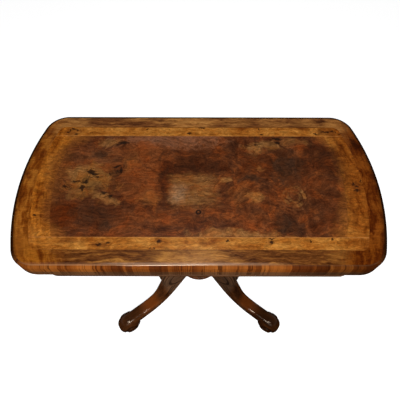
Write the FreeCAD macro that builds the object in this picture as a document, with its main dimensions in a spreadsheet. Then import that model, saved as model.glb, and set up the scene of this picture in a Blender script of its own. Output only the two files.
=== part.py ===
import FreeCAD, Part
import math
import operator
import os
import types

import Sketcher
from FreeCAD import Placement, Rotation, Vector

# Fold-over games table on a pillar with four legs, closed.
# X runs along the top, -Y is the front, Z is up, and the origin is on the floor under the pillar.

driving_sizes = {
    # top: two leaves of the same outline, hinged at the back
    "table_height": "735",
    "top_length": "920",
    "top_depth": "457",
    "end_bow_radius": "622",
    "top_corner_radius": "62",
    "leaf_thickness": "25",
    "leaf_gap": "0.6",
    "lipping_width": "22",
    "edge_round": "7.5",
    "edge_lip": "1",
    "veneer_thickness": "1.2",
    "outer_band_width": "34",
    "inner_band_width": "33",
    "inner_band_end_width": "50",
    "baize_border": "45",
    "baize_hinge_border": "24",
    "baize_thickness": "1",
    "baize_clearance": "0.3",
    # hinges at the back edge
    "hinge_end_inset": "140",
    "hinge_length": "60",
    "hinge_leaf_width": "16",
    "hinge_leaf_thickness": "2",
    "hinge_setback": "0.4",
    "knuckle_radius": "3",
    "knuckle_gap": "0.3",
    "knuckle_relief": "0.4",
    "hinge_pin_radius": "1.5",
    "pin_clearance": "0.05",
    "hinge_screw_spacing": "20",
    "hinge_screw_head": "3",
    "hinge_screw_shank": "1.5",
    "hinge_screw_length": "12",
    # swivel under the top
    "pivot_radius": "8",
    "pivot_clearance": "0.05",
    "pivot_head_radius": "14",
    "pivot_head_height": "3",
    "pivot_plate_width": "90",
    "pivot_plate_thickness": "4",
    "plate_screw_inset": "12",
    "plate_screw_head": "4.5",
    "plate_screw_shank": "2.2",
    "plate_screw_length": "14",
    "washer_radius": "17",
    "washer_thickness": "2",
    "washer_clearance": "0.3",
    "nut_corner_radius": "14",
    "nut_height": "10",
    "pivot_tail": "3",
    "stop_peg_radius": "6",
    "stop_peg_seat": "12",
    "stop_peg_drop": "14",
    "stop_slot_radius": "60",
    "stop_slot_start": "200",
    "stop_slot_turn": "90",
    "stop_slot_clearance": "0.5",
    # frieze frame
    "frame_end_overhang": "79",
    "frame_side_overhang": "22.5",
    "rail_height": "60",
    "rail_thickness": "22",
    "corner_lap": "8",
    "bead_projection": "3",
    "bead_height": "8",
    "bead_round": "2.5",
    "partition_offset": "18",
    "partition_thickness": "22",
    "pivot_board_thickness": "24",
    "ledge_width": "16",
    "ledge_height": "16",
    "bottom_thickness": "8",
    "lining_thickness": "1",
    "lining_clearance": "0.3",
    "slide_cloth_width": "12",
    "slide_cloth_thickness": "1.2",
    "slide_clearance": "0.3",
    # bearer between the frame and the pillar
    "bearer_length": "300",
    "bearer_thickness": "24",
    "bearer_inset": "6",
    "bearer_chamfer": "3",
    "bearer_screw_spread": "110",
    "bearer_screw_head": "4.5",
    "bearer_screw_shank": "2.6",
    "bearer_screw_length": "50",
    "screw_clearance": "0.1",
    # turned pillar
    "tenon_radius": "20",
    "tenon_clearance": "0.1",
    "tenon_depth": "60",
    "capital_height": "22",
    "capital_radius": "72",
    "capital_neck_radius": "62",
    "collar_radius": "43",
    "collar_height": "12",
    "collar_cove": "20",
    "neck_radius": "27",
    "neck_length": "24",
    "bulb_radius": "52",
    "bulb_height": "104",
    "waist_radius": "32",
    "waist_height": "42",
    "shaft_foot_radius": "52",
    "shaft_foot_height": "13",
    # hub and drop
    "hub_bottom": "192",
    "hub_height": "143",
    "hub_radius": "70",
    "hub_shoulder": "30",
    "rim_radius": "76",
    "rim_round": "6",
    "rim_height": "12",
    "rim_step": "4",
    "drop_plate_radius": "40",
    "drop_plate_height": "7",
    "drop_neck_radius": "15",
    "drop_neck_height": "14",
    "drop_ball_radius": "24",
    "drop_ball_height": "26",
    "drop_tenon_radius": "12",
    "drop_tenon_length": "30",
    # legs
    "leg_angle": "35.3",
    "hub_flat": "63",
    "leg_root_rise": "12.5",
    "leg_root_depth": "106",
    "leg_root_slope": "48.2",
    "leg_root_pull": "228",
    "leg_foot_pull": "187",
    "leg_foot_slope": "2.4",
    "leg_lean": "15",
    "leg_root_width": "50",
    "leg_width": "47",
    "leg_rounding": "12",
    "ankle_depth": "42",
    "ankle_height": "60",
    "knee_width": "56",
    "knee_out": "45",
    "knee_up": "63",
    "knee_half_reach": "57",
    "knee_half_height": "66",
    "knee_round": "9",
    "foot_reach": "332",
    "foot_radius": "41",
    "foot_centre_height": "38.5",
    "foot_width": "61",
    "foot_round": "26",
    "dowel_radius": "6",
    "dowel_length": "60",
    "dowel_clearance": "0.1",
    "dowel_low": "38",
    "dowel_spacing": "47",
}

knuckle_count = 5
leg_sections = 9
ankle_share = 0.65

doc = FreeCAD.newDocument("games_table")
sheet = doc.addObject("Spreadsheet::Sheet", "Sizes")
for row, (alias, value) in enumerate(driving_sizes.items(), 1):
    sheet.set(f"A{row}", alias)
    sheet.set(f"B{row}", value)
    sheet.setAlias(f"B{row}", alias)
doc.recompute()


class Measure:
    # a size known both as a number and as the expression over the sheet's cells that gives it
    def __init__(self, value, text):
        self.value = float(value)
        self.text = text

    def mixed(self, sign, work, first, second):
        first = as_measure(first)
        second = as_measure(second)
        return Measure(work(first.value, second.value), f"({first.text} {sign} {second.text})")

    def __add__(self, other):
        return self.mixed("+", operator.add, self, other)

    def __radd__(self, other):
        return self.mixed("+", operator.add, other, self)

    def __sub__(self, other):
        return self.mixed("-", operator.sub, self, other)

    def __rsub__(self, other):
        return self.mixed("-", operator.sub, other, self)

    def __mul__(self, other):
        return self.mixed("*", operator.mul, self, other)

    def __rmul__(self, other):
        return self.mixed("*", operator.mul, other, self)

    def __truediv__(self, other):
        return self.mixed("/", operator.truediv, self, other)

    def __neg__(self):
        return Measure(-self.value, f"(-1 * {self.text})")


def as_measure(number):
    if isinstance(number, Measure):
        return number
    return Measure(number, repr(float(number)))


size = types.SimpleNamespace()
for alias in driving_sizes:
    setattr(size, alias, Measure(sheet.get(alias), "Sizes." + alias))

# levels above the floor and lines that several pieces share
upper_bottom = size.table_height - size.leaf_thickness
lower_top = upper_bottom - size.leaf_gap
lower_bottom = lower_top - size.leaf_thickness
frame_top = lower_bottom - size.slide_cloth_thickness - size.slide_clearance
frame_bottom = frame_top - size.rail_height
bearer_bottom = frame_bottom - size.bearer_thickness
shaft_top = bearer_bottom - size.capital_height
hub_top = size.hub_bottom + size.hub_height
half_depth = size.top_depth / 2
hinge_axis_y = half_depth + size.hinge_setback
hinge_axis_z = upper_bottom - size.leaf_gap / 2
pivot = hinge_axis_y / 2
frame_length = size.top_length - 2 * size.frame_end_overhang
frame_depth = size.top_depth - 2 * size.frame_side_overhang
frame_half_length = frame_length / 2
frame_half_depth = frame_depth / 2
inside_half_length = frame_half_length - size.rail_thickness
inside_half_depth = frame_half_depth - size.rail_thickness
frame_corner = size.rail_thickness + size.corner_lap
bearer_half_depth = frame_half_depth - size.bearer_inset
partition_right = size.partition_offset + size.partition_thickness
pivot_board_bottom = frame_top - size.pivot_board_thickness
veneer_inset = size.edge_round + size.edge_lip
rim_depth = size.rim_height + size.rim_step

up = Vector(0, 0, 1)
nodes = []


# building blocks

def place(item, x, y, z):
    for axis, measure in zip("xyz", (x, y, z)):
        item.setExpression("Placement.Base." + axis, as_measure(measure).text)
    return item


def bind(item, **measures):
    for name, measure in measures.items():
        item.setExpression(name, as_measure(measure).text)
    return item


def box(name, length, width, height, x, y, z):
    item = doc.addObject("Part::Box", name)
    bind(item, Length=length, Width=width, Height=height)
    return place(item, x, y, z)


def rod(name, radius, height, x, y, z, direction=up):
    item = doc.addObject("Part::Cylinder", name)
    item.Placement = Placement(Vector(), Rotation(up, direction))
    bind(item, Radius=radius, Height=height)
    return place(item, x, y, z)


def cone(name, low_radius, high_radius, height, x, y, z):
    item = doc.addObject("Part::Cone", name)
    bind(item, Radius1=low_radius, Radius2=high_radius, Height=height)
    return place(item, x, y, z)


def joined(name, items):
    item = doc.addObject("Part::MultiFuse", name)
    item.Shapes = list(items)
    return item


def shared(name, items):
    item = doc.addObject("Part::MultiCommon", name)
    item.Shapes = list(items)
    return item


def cut(name, base, *tools):
    item = doc.addObject("Part::Cut", name)
    item.Base = base
    item.Tool = tools[0] if len(tools) == 1 else joined(name + "_cutters", tools)
    return item


def grouped(name, items):
    item = doc.addObject("Part::Compound", name)
    item.Links = list(items)
    return item


def rounded(name, base, radius, wanted):
    # base with a fillet on the edges that wanted accepts
    doc.recompute()
    item = doc.addObject("Part::Fillet", name)
    item.Base = base
    numbers = [n for n, edge in enumerate(base.Shape.Edges, 1) if wanted(edge)]
    item.Edges = [(n, radius.value, radius.value) for n in numbers]
    return item


def upright(edge):
    ends = [vertex.Point for vertex in edge.Vertexes]
    return len(ends) == 2 and abs((ends[1] - ends[0]).normalize().z) > 0.999


def at_level(level):
    def wanted(edge):
        box_of_edge = edge.BoundBox
        return abs(box_of_edge.ZMin - level.value) < 1e-4 and abs(box_of_edge.ZMax - level.value) < 1e-4
    return wanted


def node(item, label=None):
    # marks an object as a finished sub-part of the table
    item.Label = label or item.Name
    nodes.append(item)
    return item


def turned(name, corners):
    # lathe work: corners of (radius, height, bow), from the low end of the axis to its high end;
    # bow is the radius of the arc to the next corner, hollow where negative, straight where None
    body = doc.addObject("PartDesign::Body", name)
    sketch = body.newObject("Sketcher::SketchObject", name + "_outline")
    plane = next(item for item in body.Origin.OriginFeatures if item.Role == "XZ_Plane")
    sketch.AttachmentSupport = [(plane, "")]
    sketch.MapMode = "FlatFace"
    corners = [(as_measure(r), as_measure(z), bow) for r, z, bow in corners]
    ends = []
    for index, (radius, height, bow) in enumerate(corners):
        after = corners[(index + 1) % len(corners)]
        start = Vector(radius.value, height.value, 0)
        stop = Vector(after[0].value, after[1].value, 0)
        if bow is None:
            number = sketch.addGeometry(Part.LineSegment(start, stop))
            ends.append((number, 1, 2))
        else:
            number, reverse = add_arc(sketch, start, stop, as_measure(bow))
            ends.append((number, 2, 1) if reverse else (number, 1, 2))
    for index, (radius, height, bow) in enumerate(corners):
        number, first, last = ends[index]
        before = ends[index - 1]
        sketch.addConstraint(Sketcher.Constraint("Coincident", before[0], before[2], number, first))
        if radius.value == 0:
            sketch.addConstraint(Sketcher.Constraint("PointOnObject", number, first, -2))
        else:
            fix(sketch, Sketcher.Constraint("DistanceX", -1, 1, number, first, radius.value), radius)
        fix(sketch, Sketcher.Constraint("DistanceY", -1, 1, number, first, height.value), height)
    turning = body.newObject("PartDesign::Revolution", name + "_turning")
    turning.Profile = sketch
    turning.ReferenceAxis = (sketch, ["V_Axis"])
    turning.Angle = 360
    return body


def fix(sketch, constraint, measure):
    number = sketch.addConstraint(constraint)
    sketch.setExpression(f"Constraints[{number}]", measure.text)


def add_arc(sketch, start, stop, bow):
    # arc from start to stop that swells away from the axis, or towards it where bow is negative
    chord = stop - start
    right = Vector(chord.y, -chord.x, 0).normalize()
    side = math.copysign(1, bow.value)
    reach = math.sqrt(max(bow.value ** 2 - chord.Length ** 2 / 4, 0))
    centre = (start + stop) * 0.5 - right * (side * reach)
    middle = centre + right * (side * abs(bow.value))
    arc = Part.Arc(start, middle, stop)
    number = sketch.addGeometry(arc)
    fix(sketch, Sketcher.Constraint("Radius", number, abs(bow.value)), bow if side > 0 else -bow)
    return number, (sketch.getPoint(number, 1) - start).Length > 1e-6


def wood_screw(name, kind, x, y, face, points_up):
    # countersunk screw whose head is flush with the level face, and the hole that takes it
    head = getattr(size, kind + "_head")
    shank = getattr(size, kind + "_shank")
    length = getattr(size, kind + "_length")
    pair = []
    for suffix, ease in (("", as_measure(0)), ("_hole", size.screw_clearance)):
        wide = head + ease
        thin = shank + ease
        deep = head - shank
        whole = length + ease
        if points_up:
            sink = cone(name + suffix + "_head", wide, thin, deep, x, y, face)
            stem = rod(name + suffix + "_shank", thin, whole - deep, x, y, face + deep)
        else:
            sink = cone(name + suffix + "_head", thin, wide, deep, x, y, face - deep)
            stem = rod(name + suffix + "_shank", thin, whole - deep, x, y, face - whole)
        pair.append(joined(name + suffix, [sink, stem]))
    return pair


def leaf_blank(name, thickness, level, front, back, ends, corner=None):
    # board with bowed ends, set in from the outline of the top by front, back and ends
    slab = box(name + "_slab", size.top_length, size.top_depth - front - back, thickness,
               -size.top_length / 2, front - half_depth, level)
    bow_centre = size.top_length / 2 - size.end_bow_radius
    bow_radius = size.end_bow_radius - ends
    left = rod(name + "_left_bow", bow_radius, thickness, -bow_centre, 0, level)
    right = rod(name + "_right_bow", bow_radius, thickness, bow_centre, 0, level)
    right.Placement.Rotation = Rotation(up, 180)
    blank = shared(name + "_bowed", [slab, left, right])
    if corner is None:
        return blank
    return rounded(name, blank, corner, upright)


def even_blank(name, thickness, level, inset):
    return leaf_blank(name, thickness, level, inset, inset, inset, size.top_corner_radius - inset)


# hinges: two brass butts, let into the facing sides of the leaves

hinge_offset = size.top_length / 2 - size.hinge_end_inset
hinge_sides = {"left": -hinge_offset, "right": hinge_offset}
relief_radius = size.knuckle_radius + size.knuckle_relief
hinge_plate_back = hinge_axis_y - relief_radius
hinge_plate_front = hinge_plate_back - size.hinge_leaf_width
knuckle_pitch = size.hinge_length / knuckle_count


def hinge_plate(name, centre, face, low, knuckles, bore):
    # flat leaf with its tabs and knuckles, drilled for the screws and the pin
    start = centre - size.hinge_length / 2
    solids = [box(name + "_leaf", size.hinge_length, size.hinge_leaf_width, size.hinge_leaf_thickness,
                  start, hinge_plate_front, low)]
    for index in knuckles:
        left = start + knuckle_pitch * index + size.knuckle_gap / 2
        width = knuckle_pitch - size.knuckle_gap
        solids.append(box(f"{name}_tab_{index}", width, relief_radius, size.hinge_leaf_thickness,
                          left, hinge_plate_back, low))
        solids.append(rod(f"{name}_knuckle_{index}", size.knuckle_radius, width,
                          left, hinge_axis_y, hinge_axis_z, Vector(1, 0, 0)))
    plate = joined(name + "_plain", solids)
    hole = rod(name + "_pin_hole", bore, size.hinge_length, start, hinge_axis_y, hinge_axis_z, Vector(1, 0, 0))
    screws = []
    holes = []
    for index in (-1, 0, 1):
        screw, screw_hole = wood_screw(f"{name}_screw_{index + 1}", "hinge_screw",
                                       centre + size.hinge_screw_spacing * index,
                                       (hinge_plate_front + hinge_plate_back) / 2, face, face is upper_bottom)
        screws.append(screw)
        holes.append(screw_hole)
    node(cut(name, plate, hole, *holes))
    return screws, holes


def hinge_seat(name, centre, low):
    # room in a leaf's edge for one hinge leaf and for the knuckles of both
    start = centre - size.hinge_length / 2
    flat = box(name + "_flat", size.hinge_length, size.hinge_leaf_width + 2 * relief_radius,
               size.hinge_leaf_thickness, start, hinge_plate_front, low)
    barrel = rod(name + "_barrel", relief_radius, size.hinge_length + 2 * size.knuckle_relief,
                 start - size.knuckle_relief, hinge_axis_y, hinge_axis_z, Vector(1, 0, 0))
    return [flat, barrel]


def hinge_half(leaf, face, low, knuckles, bore):
    screws = []
    cutters = []
    for side, centre in hinge_sides.items():
        plate_screws, holes = hinge_plate(f"{side}_hinge_{leaf}_plate", centre, face, low, knuckles, bore)
        screws += plate_screws
        cutters += holes
        cutters += hinge_seat(f"{side}_hinge_{leaf}_seat", centre, low)
    node(grouped(f"{leaf}_hinge_screws", screws))
    return cutters


def hinge_pins():
    for side, centre in hinge_sides.items():
        node(rod(f"{side}_hinge_pin", size.hinge_pin_radius, size.hinge_length,
                 centre - size.hinge_length / 2, hinge_axis_y, hinge_axis_z, Vector(1, 0, 0)))


# upper leaf: core, moulded lipping, three fields of veneer, baize on its inner face

def baize_parts(leaf, bed_level, sheet_level):
    bed_depth = size.baize_thickness + size.baize_clearance
    border = size.baize_border
    hinge_border = size.baize_hinge_border
    bed = leaf_blank(leaf + "_baize_bed", bed_depth, bed_level, border, hinge_border, border,
                     size.top_corner_radius - border)
    ease = size.baize_clearance
    node(leaf_blank(leaf + "_baize", size.baize_thickness, sheet_level, border + ease, hinge_border + ease,
                    border + ease, size.top_corner_radius - border))
    return bed


def upper_leaf():
    veneer_level = size.table_height - size.veneer_thickness
    core_blank = even_blank("upper_core_blank", size.leaf_thickness - size.veneer_thickness, upper_bottom,
                            size.lipping_width)
    veneer_bed = even_blank("veneer_bed", size.veneer_thickness, veneer_level, veneer_inset)
    inner_field = even_blank("inner_field", size.veneer_thickness, veneer_level,
                             veneer_inset + size.outer_band_width)
    panel_inset = veneer_inset + size.outer_band_width + size.inner_band_width
    panel_end = veneer_inset + size.outer_band_width + size.inner_band_end_width
    panel = leaf_blank("panel_blank", size.veneer_thickness, veneer_level, panel_inset, panel_inset, panel_end)
    blank = even_blank("upper_blank", size.leaf_thickness, upper_bottom, as_measure(0))
    moulded = rounded("upper_moulded", blank, size.edge_round, at_level(size.table_height))
    seats = hinge_half("upper", upper_bottom, upper_bottom, range(1, knuckle_count, 2),
                       size.hinge_pin_radius + size.pin_clearance)
    node(cut("upper_lipping", moulded, core_blank, veneer_bed, *seats))
    recess = size.baize_thickness + size.baize_clearance
    bed = baize_parts("upper", upper_bottom, upper_bottom + recess - size.baize_thickness)
    node(cut("upper_core", core_blank, bed))
    node(cut("outer_banding", veneer_bed, inner_field))
    node(cut("inner_banding", inner_field, panel))
    quarters = []
    for name, x, y in (("back_right", 0, 0), ("back_left", -1, 0), ("front_left", -1, -1), ("front_right", 0, -1)):
        quarter = box(name + "_quarter", size.top_length / 2, half_depth, size.veneer_thickness,
                      size.top_length / 2 * x, half_depth * y, veneer_level)
        quarters.append(shared(name + "_sheet", [panel, quarter]))
    node(grouped("centre_panel_veneer", quarters))


# lower leaf: core, lipping, baize, and the swivel that it carries

def lower_leaf():
    core_blank = even_blank("lower_core_blank", size.leaf_thickness, lower_bottom, size.lipping_width)
    blank = even_blank("lower_blank", size.leaf_thickness, lower_bottom, as_measure(0))
    moulded = rounded("lower_moulded", blank, size.edge_round, at_level(lower_bottom))
    seats = hinge_half("lower", lower_top, lower_top - size.hinge_leaf_thickness, range(0, knuckle_count, 2),
                       size.hinge_pin_radius)
    node(cut("lower_lipping", moulded, core_blank, *seats))
    recess = size.baize_thickness + size.baize_clearance
    bed = baize_parts("lower", lower_top - recess, lower_top - recess)
    node(cut("lower_core", core_blank, bed, *swivel()))


def stop_point(turn):
    # place of the stop peg's axis when the top has turned by this many degrees
    angle = Measure(size.stop_slot_start.value + turn.value, f"({size.stop_slot_start.text} + {turn.text})")
    across = Measure(math.cos(math.radians(angle.value)), f"cos({angle.text} * 1 deg)")
    along = Measure(math.sin(math.radians(angle.value)), f"sin({angle.text} * 1 deg)")
    return pivot + size.stop_slot_radius * across, pivot + size.stop_slot_radius * along


def swivel():
    # plate, stud, washer, nut and stop peg; returns the cuts that the lower core needs for them
    side = size.pivot_plate_width
    plate_top = lower_bottom + size.pivot_plate_thickness
    head_top = plate_top + size.pivot_head_height
    washer_top = pivot_board_bottom - size.washer_clearance
    nut_top = washer_top - size.washer_thickness
    stud_foot = nut_top - size.nut_height - size.pivot_tail
    stud = turned("pivot_stud", [(0, stud_foot, None), (size.pivot_radius, stud_foot, None),
                                 (size.pivot_radius, plate_top, None), (size.pivot_head_radius, plate_top, None),
                                 (size.pivot_head_radius, head_top, None), (0, head_top, None)])
    node(place(stud, pivot, pivot, 0))
    bore = rod("pivot_plate_bore", size.pivot_radius, size.pivot_plate_thickness, pivot, pivot, lower_bottom)
    screws = []
    holes = []
    spread = side / 2 - size.plate_screw_inset
    for index, (x, y) in enumerate(((1, 1), (-1, 1), (-1, -1), (1, -1))):
        screw, hole = wood_screw(f"pivot_plate_screw_{index}", "plate_screw",
                                 pivot + spread * x, pivot + spread * y, lower_bottom, True)
        screws.append(screw)
        holes.append(hole)
    plate_blank = box("pivot_plate_blank", side, side, size.pivot_plate_thickness,
                      pivot - side / 2, pivot - side / 2, lower_bottom)
    node(cut("pivot_plate", plate_blank, bore, *holes))
    node(grouped("pivot_plate_screws", screws))
    washer = rod("pivot_washer_blank", size.washer_radius, size.washer_thickness, pivot, pivot, nut_top)
    washer_bore = rod("pivot_washer_bore", size.pivot_radius, size.washer_thickness, pivot, pivot, nut_top)
    node(cut("pivot_washer", washer, washer_bore))
    nut = doc.addObject("Part::Prism", "pivot_nut_blank")
    nut.Polygon = 6
    bind(nut, Circumradius=size.nut_corner_radius, Height=size.nut_height)
    place(nut, pivot, pivot, nut_top - size.nut_height)
    nut_bore = rod("pivot_nut_bore", size.pivot_radius, size.nut_height, pivot, pivot, nut_top - size.nut_height)
    node(cut("pivot_nut", nut, nut_bore))
    peg_x, peg_y = stop_point(as_measure(0))
    peg_foot = frame_top - size.stop_peg_drop
    peg_head = lower_bottom + size.stop_peg_seat
    node(rod("stop_peg", size.stop_peg_radius, peg_head - peg_foot, peg_x, peg_y, peg_foot))
    peg_hole = rod("stop_peg_hole", size.stop_peg_radius, size.stop_peg_seat, peg_x, peg_y, lower_bottom)
    head_hole = rod("pivot_head_hole", size.pivot_head_radius + size.screw_clearance, size.pivot_head_height,
                    pivot, pivot, plate_top)
    return [plate_blank, head_hole, peg_hole, *holes]


# frieze frame: rails, corner blocks, bead, partition, boards, cloth strips

def rails():
    rail = size.rail_thickness
    along = frame_length - 2 * frame_corner
    across = frame_depth - 2 * frame_corner
    holes = bearer_screws()
    for name, y in (("front_rail", -frame_half_depth), ("back_rail", inside_half_depth)):
        blank = box(name + "_blank", along, rail, size.rail_height, -along / 2, y, frame_bottom)
        node(cut(name, blank, *holes[name]))
    for name, x in (("left_rail", -frame_half_length), ("right_rail", inside_half_length)):
        node(box(name, rail, across, size.rail_height, x, -across / 2, frame_bottom))
    return holes["front_rail"] + holes["back_rail"]


def bearer_screws():
    screws = []
    holes = {"front_rail": [], "back_rail": []}
    middle = (inside_half_depth + bearer_half_depth) / 2
    for name, y in (("front_rail", -middle), ("back_rail", middle)):
        for index in (-1, 0, 1):
            screw, hole = wood_screw(f"bearer_screw_{name}_{index + 1}", "bearer_screw",
                                     size.bearer_screw_spread * index, y, bearer_bottom, True)
            screws.append(screw)
            holes[name].append(hole)
    node(grouped("bearer_screws", screws))
    return holes


def corner_blocks():
    blocks = []
    turns = {(1, 1): 0, (-1, 1): 90, (-1, -1): 180, (1, -1): 270}
    for (x, y), turn in turns.items():
        name = f"corner_block_{turn}"
        centre_x = (frame_half_length - frame_corner) * x
        centre_y = (frame_half_depth - frame_corner) * y
        blank = rod(name + "_blank", frame_corner, size.rail_height, centre_x, centre_y, frame_bottom)
        blank.Angle = 90
        blank.Placement.Rotation = Rotation(up, turn)
        lap = size.corner_lap
        inner = box(name + "_inner", lap, lap, size.rail_height,
                    centre_x if x > 0 else centre_x - lap, centre_y if y > 0 else centre_y - lap, frame_bottom)
        blocks.append(cut(name, blank, inner))
    node(grouped("frame_corner_blocks", blocks))


def rounded_slab(name, half_length, half_width, height, level, corner):
    slab = box(name + "_slab", half_length * 2, half_width * 2, height, -half_length, -half_width, level)
    return rounded(name, slab, corner, upright)


def frieze_bead():
    out = size.bead_projection
    outer = rounded_slab("bead_outer", frame_half_length + out, frame_half_depth + out, size.bead_height,
                         frame_bottom, frame_corner + out)
    soft = rounded("bead_soft", outer, size.bead_round, at_level(frame_bottom + size.bead_height))
    inner = rounded_slab("bead_inner", frame_half_length, frame_half_depth, size.bead_height, frame_bottom,
                         frame_corner)
    node(cut("frieze_bead", soft, inner))


def frame_boards():
    floor_top = frame_bottom + size.bottom_thickness
    width = inside_half_depth * 2
    node(box("frame_bottom_board", inside_half_length * 2, width, size.bottom_thickness,
             -inside_half_length, -inside_half_depth, frame_bottom))
    node(box("well_partition", size.partition_thickness, width, frame_top - floor_top,
             size.partition_offset, -inside_half_depth, floor_top))
    ease = size.lining_clearance
    node(box("well_lining", inside_half_length + size.partition_offset - 2 * ease, width - 2 * ease,
             size.lining_thickness, ease - inside_half_length, ease - inside_half_depth, floor_top))
    board_length = inside_half_length - partition_right
    board = box("pivot_board_blank", board_length, width, size.pivot_board_thickness,
                partition_right, -inside_half_depth, pivot_board_bottom)
    bore = rod("pivot_board_bore", size.pivot_radius + size.pivot_clearance, size.pivot_board_thickness,
               pivot, pivot, pivot_board_bottom)
    node(cut("pivot_board", board, bore, stop_slot()))
    ledges = []
    for name, y in (("front_ledge", -inside_half_depth), ("back_ledge", inside_half_depth - size.ledge_width)):
        ledges.append(box(name, board_length, size.ledge_width, size.ledge_height, partition_right, y,
                          pivot_board_bottom - size.ledge_height))
    node(grouped("pivot_board_ledges", ledges))


def stop_slot():
    # curved slot through the pivot board, with round ends, in which the stop peg travels
    half = size.stop_peg_radius + size.stop_slot_clearance
    deep = size.pivot_board_thickness
    outer = rod("slot_outer", size.stop_slot_radius + half, deep, pivot, pivot, pivot_board_bottom)
    bind(outer, Angle=size.stop_slot_turn)
    outer.Placement.Rotation = Rotation(up, size.stop_slot_start.value)
    inner = rod("slot_inner", size.stop_slot_radius - half, deep, pivot, pivot, pivot_board_bottom)
    ends = []
    for name, turn in (("slot_start", as_measure(0)), ("slot_stop", size.stop_slot_turn)):
        x, y = stop_point(turn)
        ends.append(rod(name, half, deep, x, y, pivot_board_bottom))
    return joined("stop_slot", [cut("slot_arc", outer, inner), *ends])


def slide_cloths():
    strip = size.slide_cloth_width
    inset = (size.rail_thickness - strip) / 2
    along = frame_length - 2 * frame_corner
    across = frame_depth - 2 * frame_corner
    thick = size.slide_cloth_thickness
    cloths = []
    for name, y in (("front", inset - frame_half_depth), ("back", frame_half_depth - inset - strip)):
        cloths.append(box(name + "_cloth", along, strip, thick, -along / 2, y, frame_top))
    for name, x in (("left", inset - frame_half_length), ("right", frame_half_length - inset - strip)):
        cloths.append(box(name + "_cloth", strip, across, thick, x, -across / 2, frame_top))
    node(grouped("slide_cloths", cloths))


# pillar: bearer board, capital, shaft, hub, drop

def pillar_bearer(holes):
    slab = box("bearer_slab", size.bearer_length, bearer_half_depth * 2, size.bearer_thickness,
               -size.bearer_length / 2, -bearer_half_depth, bearer_bottom)
    doc.recompute()
    soft = doc.addObject("Part::Chamfer", "bearer_soft")
    soft.Base = slab
    lower_edges = [n for n, edge in enumerate(slab.Shape.Edges, 1) if at_level(bearer_bottom)(edge)]
    chamfer = size.bearer_chamfer.value
    soft.Edges = [(n, chamfer, chamfer) for n in lower_edges]
    bore = rod("bearer_bore", size.tenon_radius + size.tenon_clearance, size.bearer_thickness, 0, 0, bearer_bottom)
    node(cut("pillar_bearer", soft, bore, *holes))


def quarter_bow(inward, rise):
    # radius of the arc that starts upright, comes in by inward and climbs by rise
    return (inward * inward + rise * rise) / (2 * inward)


def pillar_shaft():
    foot_top = hub_top + size.shaft_foot_height
    waist_level = hub_top + size.waist_height
    bulb_level = hub_top + size.bulb_height
    collar_bottom = shaft_top - size.collar_height
    cove_bottom = collar_bottom - size.collar_cove
    neck_bottom = cove_bottom - size.neck_length
    lower_bow = quarter_bow(size.bulb_radius - size.waist_radius, bulb_level - waist_level)
    upper_bow = quarter_bow(size.bulb_radius - size.neck_radius, neck_bottom - bulb_level)
    foot_cove = quarter_bow(size.shaft_foot_radius - size.waist_radius, waist_level - foot_top)
    collar_cove = quarter_bow(size.collar_radius - size.neck_radius, size.collar_cove)
    node(turned("pillar_shaft", [
        (0, hub_top - size.tenon_depth, None),
        (size.tenon_radius, hub_top - size.tenon_depth, None),
        (size.tenon_radius, hub_top, None),
        (size.shaft_foot_radius, hub_top, None),
        (size.shaft_foot_radius, foot_top, -foot_cove),
        (size.waist_radius, waist_level, lower_bow),
        (size.bulb_radius, bulb_level, upper_bow),
        (size.neck_radius, neck_bottom, None),
        (size.neck_radius, cove_bottom, -collar_cove),
        (size.collar_radius, collar_bottom, None),
        (size.collar_radius, shaft_top, None),
        (size.tenon_radius, shaft_top, None),
        (size.tenon_radius, frame_bottom, None),
        (0, frame_bottom, None),
    ]))


def pillar_capital():
    bow = quarter_bow(size.capital_radius - size.capital_neck_radius, size.capital_height / 2)
    middle = shaft_top + size.capital_height / 2
    blank = turned("capital_blank", [
        (0, shaft_top, None),
        (size.capital_neck_radius, shaft_top, bow),
        (size.capital_radius, middle, None),
        (size.capital_radius, bearer_bottom, None),
        (0, bearer_bottom, None),
    ])
    bore = rod("capital_bore", size.tenon_radius + size.tenon_clearance, size.capital_height, 0, 0, shaft_top)
    node(cut("pillar_capital", blank, bore))


def leg_turns():
    angle = size.leg_angle.value
    return {"front_right": -angle, "back_right": angle, "back_left": 180 - angle, "front_left": 180 + angle}


def dowel_rod(name, turn, level, radius):
    item = rod(name, radius, size.dowel_length, 0, 0, level)
    swing = Rotation(up, turn)
    item.Placement.Rotation = swing * Rotation(up, Vector(1, 0, 0))
    start = size.hub_flat - size.dowel_length / 2
    facing = swing.multVec(Vector(1, 0, 0))
    return place(item, start * facing.x, start * facing.y, level)


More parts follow.
